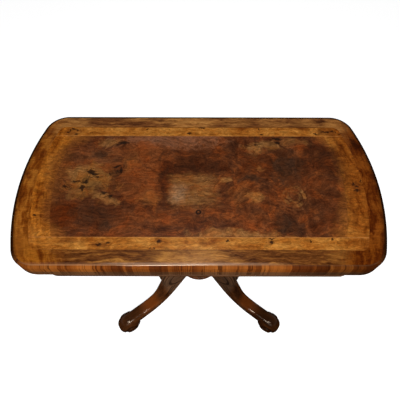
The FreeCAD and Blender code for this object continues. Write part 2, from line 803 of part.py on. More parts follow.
def pillar_hub():
    hub = size.hub_bottom
    shoulder = size.hub_radius - size.shaft_foot_radius
    blank = turned("hub_blank", [
        (0, hub, None),
        (size.rim_radius - size.rim_round, hub, size.rim_round),
        (size.rim_radius, hub + size.rim_round, None),
        (size.rim_radius, hub + size.rim_height, None),
        (size.hub_radius, hub + rim_depth, None),
        (size.hub_radius, hub_top - size.hub_shoulder, quarter_bow(shoulder, size.hub_shoulder)),
        (size.shaft_foot_radius, hub_top, None),
        (0, hub_top, None),
    ])
    cutters = [
        rod("hub_socket", size.tenon_radius + size.tenon_clearance, size.tenon_depth, 0, 0,
            hub_top - size.tenon_depth),
        rod("drop_socket", size.drop_tenon_radius + size.tenon_clearance, size.drop_tenon_length, 0, 0, hub),
    ]
    dowels = []
    side = size.rim_radius * 2
    for place_name, turn in leg_turns().items():
        flat = box("hub_flat_" + place_name, side, side, size.hub_height - rim_depth, 0, 0, hub + rim_depth)
        swing = Rotation(up, turn)
        flat.Placement.Rotation = swing
        along = swing.multVec(Vector(1, 0, 0))
        sideways = swing.multVec(Vector(0, 1, 0))
        place(flat, size.hub_flat * along.x - side / 2 * sideways.x,
              size.hub_flat * along.y - side / 2 * sideways.y, hub + rim_depth)
        cutters.append(flat)
        for index in range(2):
            level = hub + size.dowel_low + size.dowel_spacing * index
            name = f"dowel_{place_name}_{index}"
            dowels.append(dowel_rod(name, turn, level, size.dowel_radius))
            cutters.append(dowel_rod(name + "_hole", turn, level, size.dowel_radius + size.dowel_clearance))
    node(cut("pillar_hub", blank, *cutters))
    node(grouped("leg_dowels", dowels))


def hub_drop():
    plate_low = size.hub_bottom - size.drop_plate_height
    neck_low = plate_low - size.drop_neck_height
    ball_low = neck_low - size.drop_ball_height
    ball = size.drop_ball_radius
    cap = (ball * ball + size.drop_ball_height * size.drop_ball_height / 4) / size.drop_ball_height
    node(turned("hub_drop", [
        (0, ball_low, cap),
        (ball, ball_low + size.drop_ball_height / 2, quarter_bow(ball - size.drop_neck_radius,
                                                                 size.drop_ball_height / 2)),
        (size.drop_neck_radius, neck_low, None),
        (size.drop_neck_radius, plate_low, None),
        (size.drop_plate_radius, plate_low, None),
        (size.drop_plate_radius, size.hub_bottom, None),
        (size.drop_tenon_radius, size.hub_bottom, None),
        (size.drop_tenon_radius, size.hub_bottom + size.drop_tenon_length, None),
        (0, size.hub_bottom + size.drop_tenon_length, None),
    ]))


# legs: a swept S with an oval knee and a round scroll foot, in the plane of X and Z, then turned to its place

def section(centre, lean, depth, width):
    # rounded rectangle across the leg: depth runs up the lean, width runs along Y
    upward = Vector(math.sin(lean), 0, math.cos(lean))
    sideways = Vector(0, 1, 0)
    bend = min(size.leg_rounding.value, 0.45 * depth, 0.45 * width)
    half_depth_in = depth / 2 - bend
    half_width_in = width / 2 - bend
    edges = []
    corners = ((1, 1), (1, -1), (-1, -1), (-1, 1))
    ends = []
    for a, b in corners:
        middle = centre + upward * (a * half_depth_in) + sideways * (b * half_width_in)
        on_top = middle + upward * (a * bend)
        on_side = middle + sideways * (b * bend)
        diagonal = middle + (upward * a + sideways * b) * (bend / math.sqrt(2))
        first, last = (on_side, on_top) if a * b > 0 else (on_top, on_side)
        ends.append((first, diagonal, last))
    for index, (first, diagonal, last) in enumerate(ends):
        edges.append(Part.Arc(first, diagonal, last).toShape())
        edges.append(Part.LineSegment(last, ends[(index + 1) % 4][0]).toShape())
    return Part.Wire(edges)


def downhill(slope, pull):
    angle = math.radians(slope.value)
    return Vector(pull.value * math.cos(angle), 0, -pull.value * math.sin(angle))


def leg_path():
    # Bezier curve of the leg's middle line, from the hub's flat down to the foot
    root = Vector(size.hub_flat.value, 0,
                  size.hub_bottom.value + size.leg_root_rise.value + size.leg_root_depth.value / 2)
    foot = Vector(size.foot_reach.value, 0, size.ankle_height.value)
    path = Part.BezierCurve()
    path.setPoles([root, root + downhill(size.leg_root_slope, size.leg_root_pull),
                   foot - downhill(size.leg_foot_slope, size.leg_foot_pull), foot])
    return path


def leg_sweep():
    path = leg_path()
    wires = []
    for index in range(leg_sections):
        along = index / (leg_sections - 1)
        ease = (1 + math.cos(math.pi * min(along / ankle_share, 1))) / 2
        lean = math.radians(size.leg_lean.value) * math.sin(math.pi * along)
        depth = size.ankle_depth.value + (size.leg_root_depth.value - size.ankle_depth.value) * ease
        width = size.leg_width.value + (size.leg_root_width.value - size.leg_width.value) * ease
        wires.append(section(path.value(along), lean, depth, width))
    return Part.makeLoft(wires, True, False)


def side_disc(wire, width, round_radius):
    # slab of this side outline, centred on the leg's plane, with softened rims
    slab = Part.Face(wire).extrude(Vector(0, width, 0))
    slab.translate(Vector(0, -width / 2 - wire.BoundBox.YMin, 0))
    rims = [edge for edge in slab.Edges if edge.BoundBox.YLength < 1e-6]
    return slab.makeFillet(round_radius, rims)


def leg_shape():
    across = Vector(0, -1, 0)
    flat = size.hub_flat.value
    knee_centre = Vector(flat + size.knee_out.value, 0, size.hub_bottom.value + size.knee_up.value)
    tall = size.knee_half_height.value
    wide = size.knee_half_reach.value
    if tall >= wide:
        oval = Part.Ellipse(knee_centre + Vector(0, 0, tall), knee_centre + Vector(wide, 0, 0), knee_centre)
    else:
        oval = Part.Ellipse(knee_centre + Vector(wide, 0, 0), knee_centre + Vector(0, 0, tall), knee_centre)
    knee = side_disc(Part.Wire(oval.toShape()), size.knee_width.value, size.knee_round.value)
    foot_centre = Vector(size.foot_reach.value, 0, size.foot_centre_height.value)
    circle = Part.Circle(foot_centre, across, size.foot_radius.value)
    foot = side_disc(Part.Wire(circle.toShape()), size.foot_width.value, size.foot_round.value)
    leg = leg_sweep().fuse([knee, foot])
    room = size.foot_reach.value * 2
    behind = Part.makeBox(room, room, room, Vector(flat - room, -room / 2, -room / 2))
    below = Part.makeBox(room, room, room, Vector(0, -room / 2, -room))
    rim = Part.makeCylinder(size.rim_radius.value, rim_depth.value, Vector(0, 0, size.hub_bottom.value))
    holes = []
    for index in range(2):
        level = size.hub_bottom + size.dowel_low + size.dowel_spacing * index
        holes.append(Part.makeCylinder((size.dowel_radius + size.dowel_clearance).value,
                                       size.dowel_length.value / 2, Vector(flat, 0, level.value), Vector(1, 0, 0)))
    return leg.cut([behind, below, rim, *holes]).removeSplitter()


def legs():
    shape = leg_shape()
    for place_name, turn in leg_turns().items():
        leg = doc.addObject("Part::Feature", "leg_" + place_name)
        leg.Shape = shape.copy()
        leg.Placement = Placement(Vector(), Rotation(up, turn))
        node(leg)


upper_leaf()
lower_leaf()
hinge_pins()
screw_holes = rails()
corner_blocks()
frieze_bead()
frame_boards()
slide_cloths()
pillar_bearer(screw_holes)
pillar_capital()
pillar_shaft()
pillar_hub()
hub_drop()
legs()
doc.recompute()

for item in doc.Objects:
    if {"Invalid", "Error"} & set(item.State):
        raise RuntimeError(f"{item.Label} did not build: {item.State}")

os.makedirs("parts", exist_ok=True)
for item in nodes:
    shape = item.Shape
    if shape.isNull() or not shape.isValid() or not shape.Solids:
        raise RuntimeError(f"{item.Label} has no valid solid")
    shape.exportStep(f"parts/{item.Label}.step")
    print(item.Label, len(shape.Solids), round(shape.Volume / 1000, 2), "cm3")
print(len(nodes), "nodes")
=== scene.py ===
import math

import bmesh
import bpy
import numpy as np
from mathutils import Matrix, Vector


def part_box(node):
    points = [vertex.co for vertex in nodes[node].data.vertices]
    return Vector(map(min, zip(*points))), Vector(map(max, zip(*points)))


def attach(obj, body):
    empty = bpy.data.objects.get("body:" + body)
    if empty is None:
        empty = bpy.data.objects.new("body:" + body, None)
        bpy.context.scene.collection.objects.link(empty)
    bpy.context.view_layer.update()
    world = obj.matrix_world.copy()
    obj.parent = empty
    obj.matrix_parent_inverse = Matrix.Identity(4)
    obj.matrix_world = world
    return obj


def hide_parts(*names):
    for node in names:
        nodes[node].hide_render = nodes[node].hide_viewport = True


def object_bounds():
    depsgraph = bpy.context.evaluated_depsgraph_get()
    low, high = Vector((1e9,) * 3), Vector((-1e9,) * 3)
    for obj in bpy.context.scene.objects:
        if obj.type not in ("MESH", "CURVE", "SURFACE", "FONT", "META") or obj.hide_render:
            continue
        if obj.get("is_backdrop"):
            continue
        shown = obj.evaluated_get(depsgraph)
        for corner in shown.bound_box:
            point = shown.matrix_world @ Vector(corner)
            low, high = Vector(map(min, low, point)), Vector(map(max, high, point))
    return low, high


# Fold-over games table in figured walnut, closed, on a turned pillar with four carved legs.
# Metres, or millimetres where a table says so; X along the top, -Y to the front, Z up, floor at 0.

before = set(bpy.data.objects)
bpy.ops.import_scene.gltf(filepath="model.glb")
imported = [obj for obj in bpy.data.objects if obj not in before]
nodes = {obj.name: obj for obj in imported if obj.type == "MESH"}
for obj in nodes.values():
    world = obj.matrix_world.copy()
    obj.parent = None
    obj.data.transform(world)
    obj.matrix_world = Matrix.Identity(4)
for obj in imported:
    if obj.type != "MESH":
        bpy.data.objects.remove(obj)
cadLow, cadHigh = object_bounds()
scene = bpy.context.scene
mm = 0.001


class Wire:
    # one output of a node; arithmetic and calls on it add the next node
    def __init__(self, board, socket):
        self.board = board
        self.socket = socket

    def __add__(self, other):
        return self.board.maths("ADD", self, other)

    def __sub__(self, other):
        return self.board.maths("SUBTRACT", self, other)

    def __mul__(self, other):
        return self.board.maths("MULTIPLY", self, other)

    def __abs__(self):
        return self.board.maths("ABSOLUTE", self)

    def vector(self, operation, other=(0, 0, 0)):
        output = "Value" if operation in ("LENGTH", "DISTANCE") else "Vector"
        return self.board.add("ShaderNodeVectorMath", (self, other), output, operation=operation)

    def split(self):
        node = self.board.node("ShaderNodeSeparateXYZ", (self,))
        return [Wire(self.board, socket) for socket in node.outputs]

    def ease(self, low, high, start=0, stop=1):
        # goes smoothly from start to stop while this goes from low to high
        inputs = (self, low, high, start, stop)
        return self.board.add("ShaderNodeMapRange", inputs, interpolation_type="SMOOTHSTEP")

    def ramp(self, **stops):
        # colours by name, each at its own place from 0 to 1
        node = self.board.node("ShaderNodeValToRGB", (self,))
        elements = node.color_ramp.elements
        while len(elements) < len(stops):
            elements.new(1)
        for element, (name, position) in zip(elements, stops.items()):
            element.position = position
            element.color = (*self.board.look[name], 1)
        return Wire(self.board, node.outputs[0])

    def noise(self, scale, detail=3, rough=0.55, twist=0):
        # scale is per metre: one number, or one for each axis
        place = self
        if isinstance(scale, tuple):
            place = self.vector("MULTIPLY", scale)
            scale = 1
        inputs = {"Vector": place, "Scale": scale, "Detail": detail, "Roughness": rough, "Distortion": twist}
        return self.board.add("ShaderNodeTexNoise", inputs)

    def streaks(self, along, across):
        # thin streaks that run along the first axis
        return self.noise((along, across, across), 3, 0.6)

    def cells(self, scale, output=0):
        return self.board.add("ShaderNodeTexVoronoi", {"Vector": self, "Scale": scale}, output)

    def wander(self, scale, amount):
        # this place moved about by slow noise, so that edges and grain wave
        shift = self.board.add("ShaderNodeTexNoise", {"Vector": self, "Scale": scale, "Detail": 2}, 1)
        shift = shift.vector("SUBTRACT", (0.5, 0.5, 0.5)).vector("MULTIPLY", (amount, amount, amount))
        return self.vector("ADD", shift)

    def ragged(self, scale, amount):
        # noise to either side of 0, for breaking an edge
        return (self.noise(scale, 4, 0.65) - 0.5) * amount

    def patch(self, centre, reach, soft, ragged):
        # 1 in the middle of an oval on the plane of X and Y, 0 outside; ragged is added to break its edge
        away = self.vector("SUBTRACT", (*centre, 0)).vector("DIVIDE", (*reach, 1)).vector("LENGTH")
        return (away + ragged).ease(1, 1 - soft)

    def ring(self, centre, radius, half):
        # 1 along a circle, 0 half a line's width away from it
        away = self.vector("DISTANCE", (*centre, 0))
        return abs(away - radius).ease(half, half * 0.3)

    def shaded(self, amount):
        # this colour made darker or lighter by a factor near 1
        return self.board.scaled(self, amount)

    def mixed(self, share, other, blend="MIX"):
        return self.board.mix(share, self, other, blend)

    def ovals(self, place, rows, paint, soft, ragged, share=1):
        # this colour with ovals of paint on it; a row is centre, half sizes (mm), perhaps a share of its own
        colour = self
        for cx, cy, rx, ry, *own in rows:
            spot = place.patch((cx * mm, cy * mm), (rx * mm, ry * mm), soft, ragged)
            colour = colour.mixed(spot * (own[0] if own else share), paint)
        return colour


class Board:
    # a node tree, and calls that add a node to it and give back an output
    def __init__(self, tree):
        self.tree = tree
        tree.nodes.clear()

    def feed(self, socket, value):
        # links an output to the socket, or sets the socket's own value
        value = getattr(value, "socket", value)
        if isinstance(value, bpy.types.NodeSocket):
            self.tree.links.new(value, socket)
        elif socket.type == "RGBA":
            socket.default_value = (*value[:3], 1)
        else:
            socket.default_value = value

    def node(self, kind, inputs=(), **settings):
        # the inputs come in order, or by socket name or number
        node = self.tree.nodes.new(kind)
        for name, value in settings.items():
            setattr(node, name, value)
        for key, value in inputs.items() if isinstance(inputs, dict) else enumerate(inputs):
            self.feed(node.inputs[key], value)
        return node

    def add(self, kind, inputs=(), output=0, **settings):
        return Wire(self, self.node(kind, inputs, **settings).outputs[output])

    def maths(self, operation, *values):
        return self.add("ShaderNodeMath", values, operation=operation)

    def join(self, x, y, z=0):
        return self.add("ShaderNodeCombineXYZ", (x, y, z))


class Bench(Board):
    # one finish; look has its colours by name, and the shader's values are named with _ for each space
    def __init__(self, name, look, **sockets):
        self.look = look
        self.material = bpy.data.materials.new(name)
        self.material.use_nodes = True
        super().__init__(self.material.node_tree)
        values = {socket.replace("_", " "): value for socket, value in sockets.items()}
        shader = self.node("ShaderNodeBsdfPrincipled", values)
        self.node("ShaderNodeOutputMaterial", {"Surface": shader.outputs[0]})
        self.inputs = shader.inputs

    def feed(self, socket, value):
        super().feed(socket, self.look[value] if isinstance(value, str) else value)

    def place(self, output="Object"):
        return self.add("ShaderNodeTexCoord", output=output)

    def attribute(self, name, output="Vector"):
        return self.add("ShaderNodeAttribute", output=output, attribute_name=name)

    def facing(self):
        # 1 where the surface faces straight up, 0 where it is upright
        return self.add("ShaderNodeNewGeometry", output="Normal").split()[2]

    def mix(self, share, first, second, blend="MIX"):
        inputs = {0: share, 6: first, 7: second}
        return self.add("ShaderNodeMix", inputs, 2, data_type="RGBA", blend_type=blend)

    def scaled(self, colour, amount):
        return self.add("ShaderNodeVectorMath", {0: colour, "Scale": amount}, operation="SCALE")

    def gloss(self, level):
        self.feed(self.inputs["Specular IOR Level"], level)

    def finish(self, colour, bump, depth, strength, roughness=None):
        self.feed(self.inputs["Base Color"], colour)
        if roughness is not None:
            self.feed(self.inputs["Roughness"], roughness)
        relief = self.add("ShaderNodeBump", {"Strength": strength, "Distance": depth, "Height": bump})
        self.feed(self.inputs["Normal"], relief)
        return self.material


# outline of the top, shared by the veneers, the edge mouldings and the cloths
top = {
    "halfLength": 0.46, "halfDepth": 0.2285, "bowRadius": 0.622, "cornerRadius": 0.062,
    "panelHalfDepth": 0.153, "panelEnd": 0.0925, "bandInset": 0.0425, "lip": 0.0085, "cornerSteps": 12,
    "endSteps": 30, "sideSteps": 70,
}
top["bowCentre"] = top["halfLength"] - top["bowRadius"]


def endDistance(x, y, inset):
    # distance outward from the bowed end line that is set in from the top's end by inset
    reach = x.board.join(abs(x) - top["bowCentre"], y)
    return reach.vector("LENGTH") - (top["bowRadius"] - inset)


def panelEdge(x, y):
    # distance outside the panel's figure, which runs out over the band at the left and at the back right
    rough = x.board.join(x, y).wander(13, 0.06).ragged(42, 0.05)
    reach = x.ease(-0.2, 0.2, 0.024, y * 0.12 + 0.01)
    # less at the corners, where gold comes in
    reach = abs(y).ease(0.1, 0.15, reach, -0.014)
    return endDistance(x, y, top["panelEnd"]) - reach + rough


veneerPores = {"depth": 0.00008, "strength": 0.2}


def veneerBench(name, look):
    # a bench for one veneer of the top, with x, y and the plan that they make
    bench = Bench(name, look, Roughness=0.24, Specular_IOR_Level=0.12)
    x, y = bench.place().split()[:2]
    return bench, x, y, bench.join(x, y)


panelLook = {
    "dark": (0.042, 0.0112, 0.0034), "brown": (0.088, 0.0252, 0.0074), "umber": (0.15, 0.051, 0.016),
    "maroon": (0.08, 0.017, 0.003), "red": (0.172, 0.044, 0.0095), "orange": (0.24, 0.076, 0.0155),
    "tan": (0.238, 0.097, 0.024), "olive": (0.195, 0.08, 0.0165), "haze": (0.27, 0.145, 0.068),
    "mauve": (0.185, 0.068, 0.028), "slate": (0.042, 0.0165, 0.007), "knot": (0.014, 0.0068, 0.0034),
    "gold": (0.225, 0.072, 0.011), "rim": (0.145, 0.045, 0.009), "violetTint": (0.79, 0.86, 1.02),
    "brownTint": (0.88, 0.87, 0.9), "redTint": (0.98, 0.84, 0.72),
}
panelClouds = (
    # centre x, y, half length, half depth (mm), softness, share, colour
    (-85, 142, 200, 56, 0.7, 0.9, "mauve"), (-160, 96, 105, 46, 0.9, 0.85, "red"),
    (-265, 85, 85, 44, 0.9, 0.75, "umber"), (-255, -92, 70, 50, 0.8, 0.55, "slate"),
    (-344, -94, 66, 52, 0.6, 0.95, "maroon"), (-200, -136, 90, 20, 0.9, 0.6, "brown"),
    (225, 50, 85, 72, 0.7, 0.9, "slate"), (335, 75, 70, 95, 0.8, 0.85, "dark"),
    (330, -85, 50, 60, 0.9, 0.7, "brown"), (300, -12, 60, 28, 0.9, 0.4, "red"),
    (-150, 4, 72, 95, 0.8, 0.85, "red"), (-185, 60, 40, 32, 0.9, 0.4, "orange"),
    (-110, 58, 34, 30, 0.9, 0.7, "red"), (-122, -48, 32, 40, 0.9, 0.55, "orange"),
    (-165, 0, 40, 26, 0.9, 0.6, "brown"), (-115, -106, 140, 28, 0.9, 0.75, "red"),
    (147, 58, 56, 46, 0.7, 0.6, "maroon"), (150, 44, 16, 14, 0.9, 0.8, "orange"),
    (115, -36, 50, 40, 0.8, 0.3, "orange"), (275, -40, 75, 50, 0.9, 0.55, "dark"),
    (265, 5, 70, 34, 0.9, 0.75, "brown"), (50, -4, 40, 24, 0.9, 0.6, "brown"),
    (98, 8, 30, 22, 0.9, 0.7, "red"), (130, -100, 90, 30, 0.9, 0.5, "red"),
    (10, 92, 100, 22, 0.8, 0.4, "dark"), (-8, 52, 90, 34, 0.7, 0.85, "dark"),
    (-92, -4, 22, 76, 0.8, 0.85, "dark"), (130, 8, 34, 17, 0.6, 0.85, "slate"),
    (211, -118, 48, 34, 0.8, 0.95, "slate"), (-224, -119, 34, 17, 0.8, 0.8, "slate"),
    (-259, 96, 30, 22, 0.8, 0.85, "slate"), (-205, 126, 36, 16, 0.9, 0.8, "slate"),
    (-279, 10, 90, 64, 0.8, 0.85, "olive"), (-310, 36, 65, 34, 0.9, 0.7, "tan"),
    (-235, -46, 50, 20, 0.8, 0.8, "tan"), (-210, 45, 30, 26, 0.8, 0.75, "slate"),
    (-235, 135, 60, 18, 0.9, 0.7, "tan"), (168, 114, 62, 26, 0.8, 0.85, "tan"),
    (245, 130, 70, 20, 0.9, 0.5, "tan"), (68, 6, 24, 14, 0.8, 0.85, "tan"),
    (137, -50, 26, 18, 0.8, 0.85, "tan"), (40, -143, 100, 18, 0.9, 0.9, "tan"),
    (225, -147, 50, 12, 0.9, 0.7, "tan"), (130, -142, 105, 15, 0.9, 0.85, "tan"),
)
panelKnots = (
    # where the burr has squiggles: centre x, y, half length, half depth (mm)
    (-281, 27, 30, 22), (-326, -4, 26, 14), (-226, -40, 26, 14), (-212, 40, 26, 20), (-205, 125, 30, 14),
    (166, 128, 18, 10),
)
panelBlots = (
    # black spots of the burr: centre x, y, half length, half depth (mm)
    (-282, 33, 16, 8), (-269, 26, 11, 5), (-289, 2, 9, 7), (-294, -18, 6, 11), (-262, 16, 7, 5),
    (-234, -31, 13, 6), (-224, -45, 13, 5), (-339, -14, 8, 6), (-313, 1, 21, 3.2), (-209, 127, 16, 6),
    (213, 144, 16, 5), (214, 129, 9, 5), (-214, 50, 13, 5), (-203, 37, 5, 10),
)
panelSwirl = (
    # arcs at the right: radius, half a line's width, colour, share
    (0.026, 0.006, "tan", 0.8), (0.016, 0.0045, "tan", 0.6), (0.036, 0.0045, "umber", 0.6),
)


def figuredPanel():
    bench, x, y, flat = veneerBench("figuredWalnut", panelLook)
    mirrored = bench.join(abs(x), y).vector("ADD", flat.wander(5, 0.3))
    loose = flat.wander(13, 0.06).wander(55, 0.026)
    rough = loose.ragged(42, 1.7)
    cloud = mirrored.wander(9, 0.05).noise(13, 6, 0.66)
    colour = cloud.ramp(dark=0.36, brown=0.5, red=0.64)
    for *oval, soft, share, name in panelClouds:
        colour = colour.ovals(loose, [oval], name, soft, rough, share)
    # a painted reflection in the middle, straight on its left and back sides: tan stripes and a paler painted
    # haze
    tight = flat.wander(22, 0.026).wander(80, 0.012)
    tx, ty = tight.split()[:2]
    worn = tx.ease(-0.086, -0.062) * tx.ease(0.066, 0.016) * ty.ease(0.036, 0.014) * ty.ease(-0.088, -0.045)
    stripes = flat.wander(20, 0.03).noise((14, 110, 1), 4, 0.65)
    colour = colour.mixed(worn * stripes.ease(0.36, 0.6, 0.25, 0.78), "tan")
    # the paler painted haze of the reflection
    pale = tight.patch((-0.056, -0.036), (0.04, 0.044), 0.9, rough * 0.5)
    colour = colour.mixed(pale * worn * 0.65, "haze")
    # squiggles and spots of the burr
    lines = abs(flat.noise(34, 2, 0.6, 1.8) - 0.5).ease(0.052, 0.016)
    colour = colour.ovals(loose, panelKnots, "knot", 0.5, rough, lines * 0.7)
    colour = colour.ovals(flat.wander(75, 0.02), panelBlots, "knot", 0.5, rough * 0.4, 0.9)
    # swirl at the right, small dark ring in front of the middle
    bent = flat.wander(26, 0.02)
    broken = rough.ease(0.25, -0.15) * (x - y).ease(0.235, 0.3, 0.25, 1)
    for radius, half, name, share in panelSwirl:
        colour = colour.mixed(bent.ring((0.237, -0.042), radius, half) * broken * share, name)
    colour = colour.mixed(flat.ring((-0.001, -0.087), 0.005, 0.003), "knot")
    # the hue drifts between violet brown and red
    drift = loose.noise(30, 4, 0.6)
    tint = drift.ramp(violetTint=0.36, brownTint=0.5, redTint=0.62)
    colour = colour.mixed(1, tint, "MULTIPLY").shaded(1.16)
    # a lighter rim at the left, then gold that wanders in over the bowed ends
    edge = panelEdge(x, y)
    rim = edge.ease(-0.06, -0.022, 0, 0.65) * x.ease(-0.2, -0.3) * y.ease(-0.085, -0.03)
    colour = colour.mixed(rim, "rim").mixed(edge.ease(-0.034, 0.02, 0, 0.95), "gold")
    # waves of figure, mottling, then fine pores
    figure = mirrored.wander(16, 0.05).noise((30, 70, 1), 5, 0.7)
    mottle = loose.wander(30, 0.03).noise((110, 190, 1), 4, 0.72)
    pores = flat.wander(14, 0.03).streaks(45, 620)
    colour = colour.shaded(figure.ease(0.32, 0.68, 0.76, 1.36)).shaded(mottle.ease(0.34, 0.66, 0.7, 1.32))
    colour = colour.shaded(pores.ease(0.3, 0.7, 0.82, 1.18))
    return bench.finish(colour, pores, **veneerPores)


bandLook = {
    "deep": (0.15, 0.0355, 0.0032), "gold": (0.318, 0.104, 0.0132), "straw": (0.455, 0.19, 0.034),
    "endDeep": (0.122, 0.024, 0.0013), "endGold": (0.254, 0.07, 0.0052), "amber": (0.405, 0.129, 0.0125),
    "rightDeep": (0.09, 0.0168, 0.0012), "rightGold": (0.228, 0.061, 0.006), "burl": (0.12, 0.032, 0.006),
    "leftFigure": (0.138, 0.041, 0.008), "rightFigure": (0.056, 0.016, 0.0046),
    "knot": (0.022, 0.008, 0.003), "lightLine": (0.43, 0.17, 0.04), "darkLine": (0.07, 0.02, 0.0055),
}
bandKnots = (
    # black spots of the burr: centre x, y, half length, half depth (mm)
    (-145, 178, 5.8, 4), (-28, 163, 7.4, 5), (8, 184, 13, 3.6), (-397, -96, 4.8, 3.4),
    (-92, -163, 8.4, 5.8), (-111, -181, 4.6, 3.2), (-102, -182, 4.2, 2.9), (67, -162, 5.8, 4),
    (168, -166, 7.4, 5), (212, -168, 4.2, 2.9), (259, -164, 4.2, 2.9), (310, -157, 3.8, 2.7),
    (-230, -172, 9, 4.5), (-210, -168, 8, 4.2), (-366, 166, 8, 4.2), (-361, 173, 4, 7.5),
    (-352, 179, 8, 3.2), (-341, 174, 6.5, 4.2), (-341, 160, 8, 3.4), (324, 162, 13, 3.4),
    (345, 170, 9.5, 3.4), (357, 168, 7.5, 4.2), (371, 172, 7, 3.4), (381, 168, 3.4, 7),
    (389, 161, 6.5, 3.4), (392, -4, 4.4, 8.5), (400, -12, 7.5, 3.6), (396, -23, 9, 3.6), (413, 4, 3.4, 8),
    (167, 179, 3, 7.5), (172, 160, 8, 2.8), (169, -157, 12, 2.8),
)
bandGold = (
    # places at the ends as light as the sides: centre x, y, half length, half depth (mm), share
    (-400, -150, 45, 50, 0.55), (-392, 60, 26, 70, 0.7), (395, -165, 40, 40, 0.25),
)
bandBurls = (
    # brown spots in the gold: centre x, y, half length, half depth (mm)
    (-222, -169, 30, 14), (-92, -166, 16, 14), (-355, 168, 36, 18), (350, 168, 45, 16), (170, -165, 16, 10),
    (-300, -160, 50, 12), (398, -12, 16, 26), (-366, -85, 20, 40),
)


def flowAlongEnd(x, y, inset):
    # streaks that follow the bowed end
    way = x.board.join(endDistance(x, y, inset), y, x.ease(-0.1, 0.1))
    return way.wander(16, 0.03).noise((75, 13, 7), 5, 0.68)


def goldenBand():
    bench, x, y, flat = veneerBench("goldenBand", bandLook)
    loose = flat.wander(14, 0.034).wander(60, 0.01)
    rough = loose.ragged(60, 1.4)
    cloud = loose.noise(19, 6, 0.66) * 0.55 + loose.noise((12, 75, 1), 5, 0.66) * 0.45
    sides = cloud.ramp(deep=0.37, gold=0.47, straw=0.62)
    flow = cloud * 0.45 + flowAlongEnd(x, y, top["bandInset"]) * 0.55
    left = flow.ramp(endDeep=0.41, endGold=0.48, amber=0.565)
    right = flow.ramp(rightDeep=0.4, rightGold=0.5, gold=0.62)
    toRight = x.ease(-0.2, 0.2)
    colour = sides.mixed(abs(x).ease(0.33, 0.39), left.mixed(toRight, right))
    colour = colour.ovals(loose, bandGold, sides, 0.9, rough)
    # the panel's figure wanders out over the ends
    depth = abs(y)
    inward = panelEdge(x, y).ease(0.02, -0.034) * depth.ease(0.154, 0.146)
    colour = colour.mixed(inward, bench.mix(toRight, "leftFigure", "rightFigure"))
    colour = colour.ovals(loose, bandBurls, "burl", 0.8, rough, 0.6)
    colour = colour.ovals(flat.wander(150, 0.012), bandKnots, "knot", 0.6, rough * 0.6, 0.92)
    specks = loose.cells(85).ease(0.17, 0.05) * flat.noise(14).ease(0.54, 0.64)
    curl = loose.noise((70, 150, 1), 5, 0.7, 0.8)
    colour = colour.mixed(specks * 0.8, "knot").shaded(curl.ease(0.34, 0.66, 0.7, 1.3))
    # stringing at the front and back: a pale line beside the panel, a dark one beside the outer band
    beside = depth - top["panelHalfDepth"]
    pale = beside.ease(0.0022, 0.0012) * beside.ease(-0.0008, 0)
    colour = colour.mixed(pale * cloud.ease(0.4, 0.55, 0.35, 0.85), "lightLine")
    dark = (depth - (top["halfDepth"] - top["bandInset"])).ease(-0.0024, -0.0008)
    colour = colour.mixed(dark * abs(x).ease(0.32, 0.4, 0.8, 0.12), "darkLine")
    endLine = endDistance(x, y, top["bandInset"]).ease(-0.003, -0.0008)
    colour = colour.mixed(endLine * 0.2, "darkLine")
    pores = loose.streaks(60, 500)
    return bench.finish(colour.shaded(pores.ease(0.32, 0.68, 0.76, 1.24)), pores, **veneerPores)


outerLook = {
    "dark": (0.052, 0.0145, 0.0042), "brown": (0.145, 0.047, 0.0125), "gold": (0.33, 0.13, 0.029),
    "straw": (0.5, 0.23, 0.06), "endDark": (0.087, 0.0166, 0.001), "endBrown": (0.168, 0.04, 0.0028),
    "endGold": (0.318, 0.104, 0.0112), "rightDark": (0.032, 0.0054, 0.0004),
    "rightBrown": (0.088, 0.0156, 0.001), "rightGold": (0.194, 0.049, 0.0046),
    "frontTone": (0.88, 0.84, 0.62), "worn": (0.4, 0.25, 0.17),
}
outerClouds = (
    # golden lengths of the outer band: centre x, y, half length, half depth (mm), share
    (-10, -204, 135, 36, 0.95), (-385, -196, 55, 50, 0.75), (350, -196, 60, 50, 0.8),
    (-30, 206, 115, 34, 0.9), (-370, 195, 85, 50, 0.75), (105, 206, 60, 34, 0.45), (210, 206, 60, 34, 0.45),
    (300, 206, 50, 34, 0.5), (390, 190, 60, 50, 0.75), (-180, -217, 70, 8, 0.7), (180, -218, 80, 7, 0.6),
    (-170, 214, 70, 10, 0.6),
)


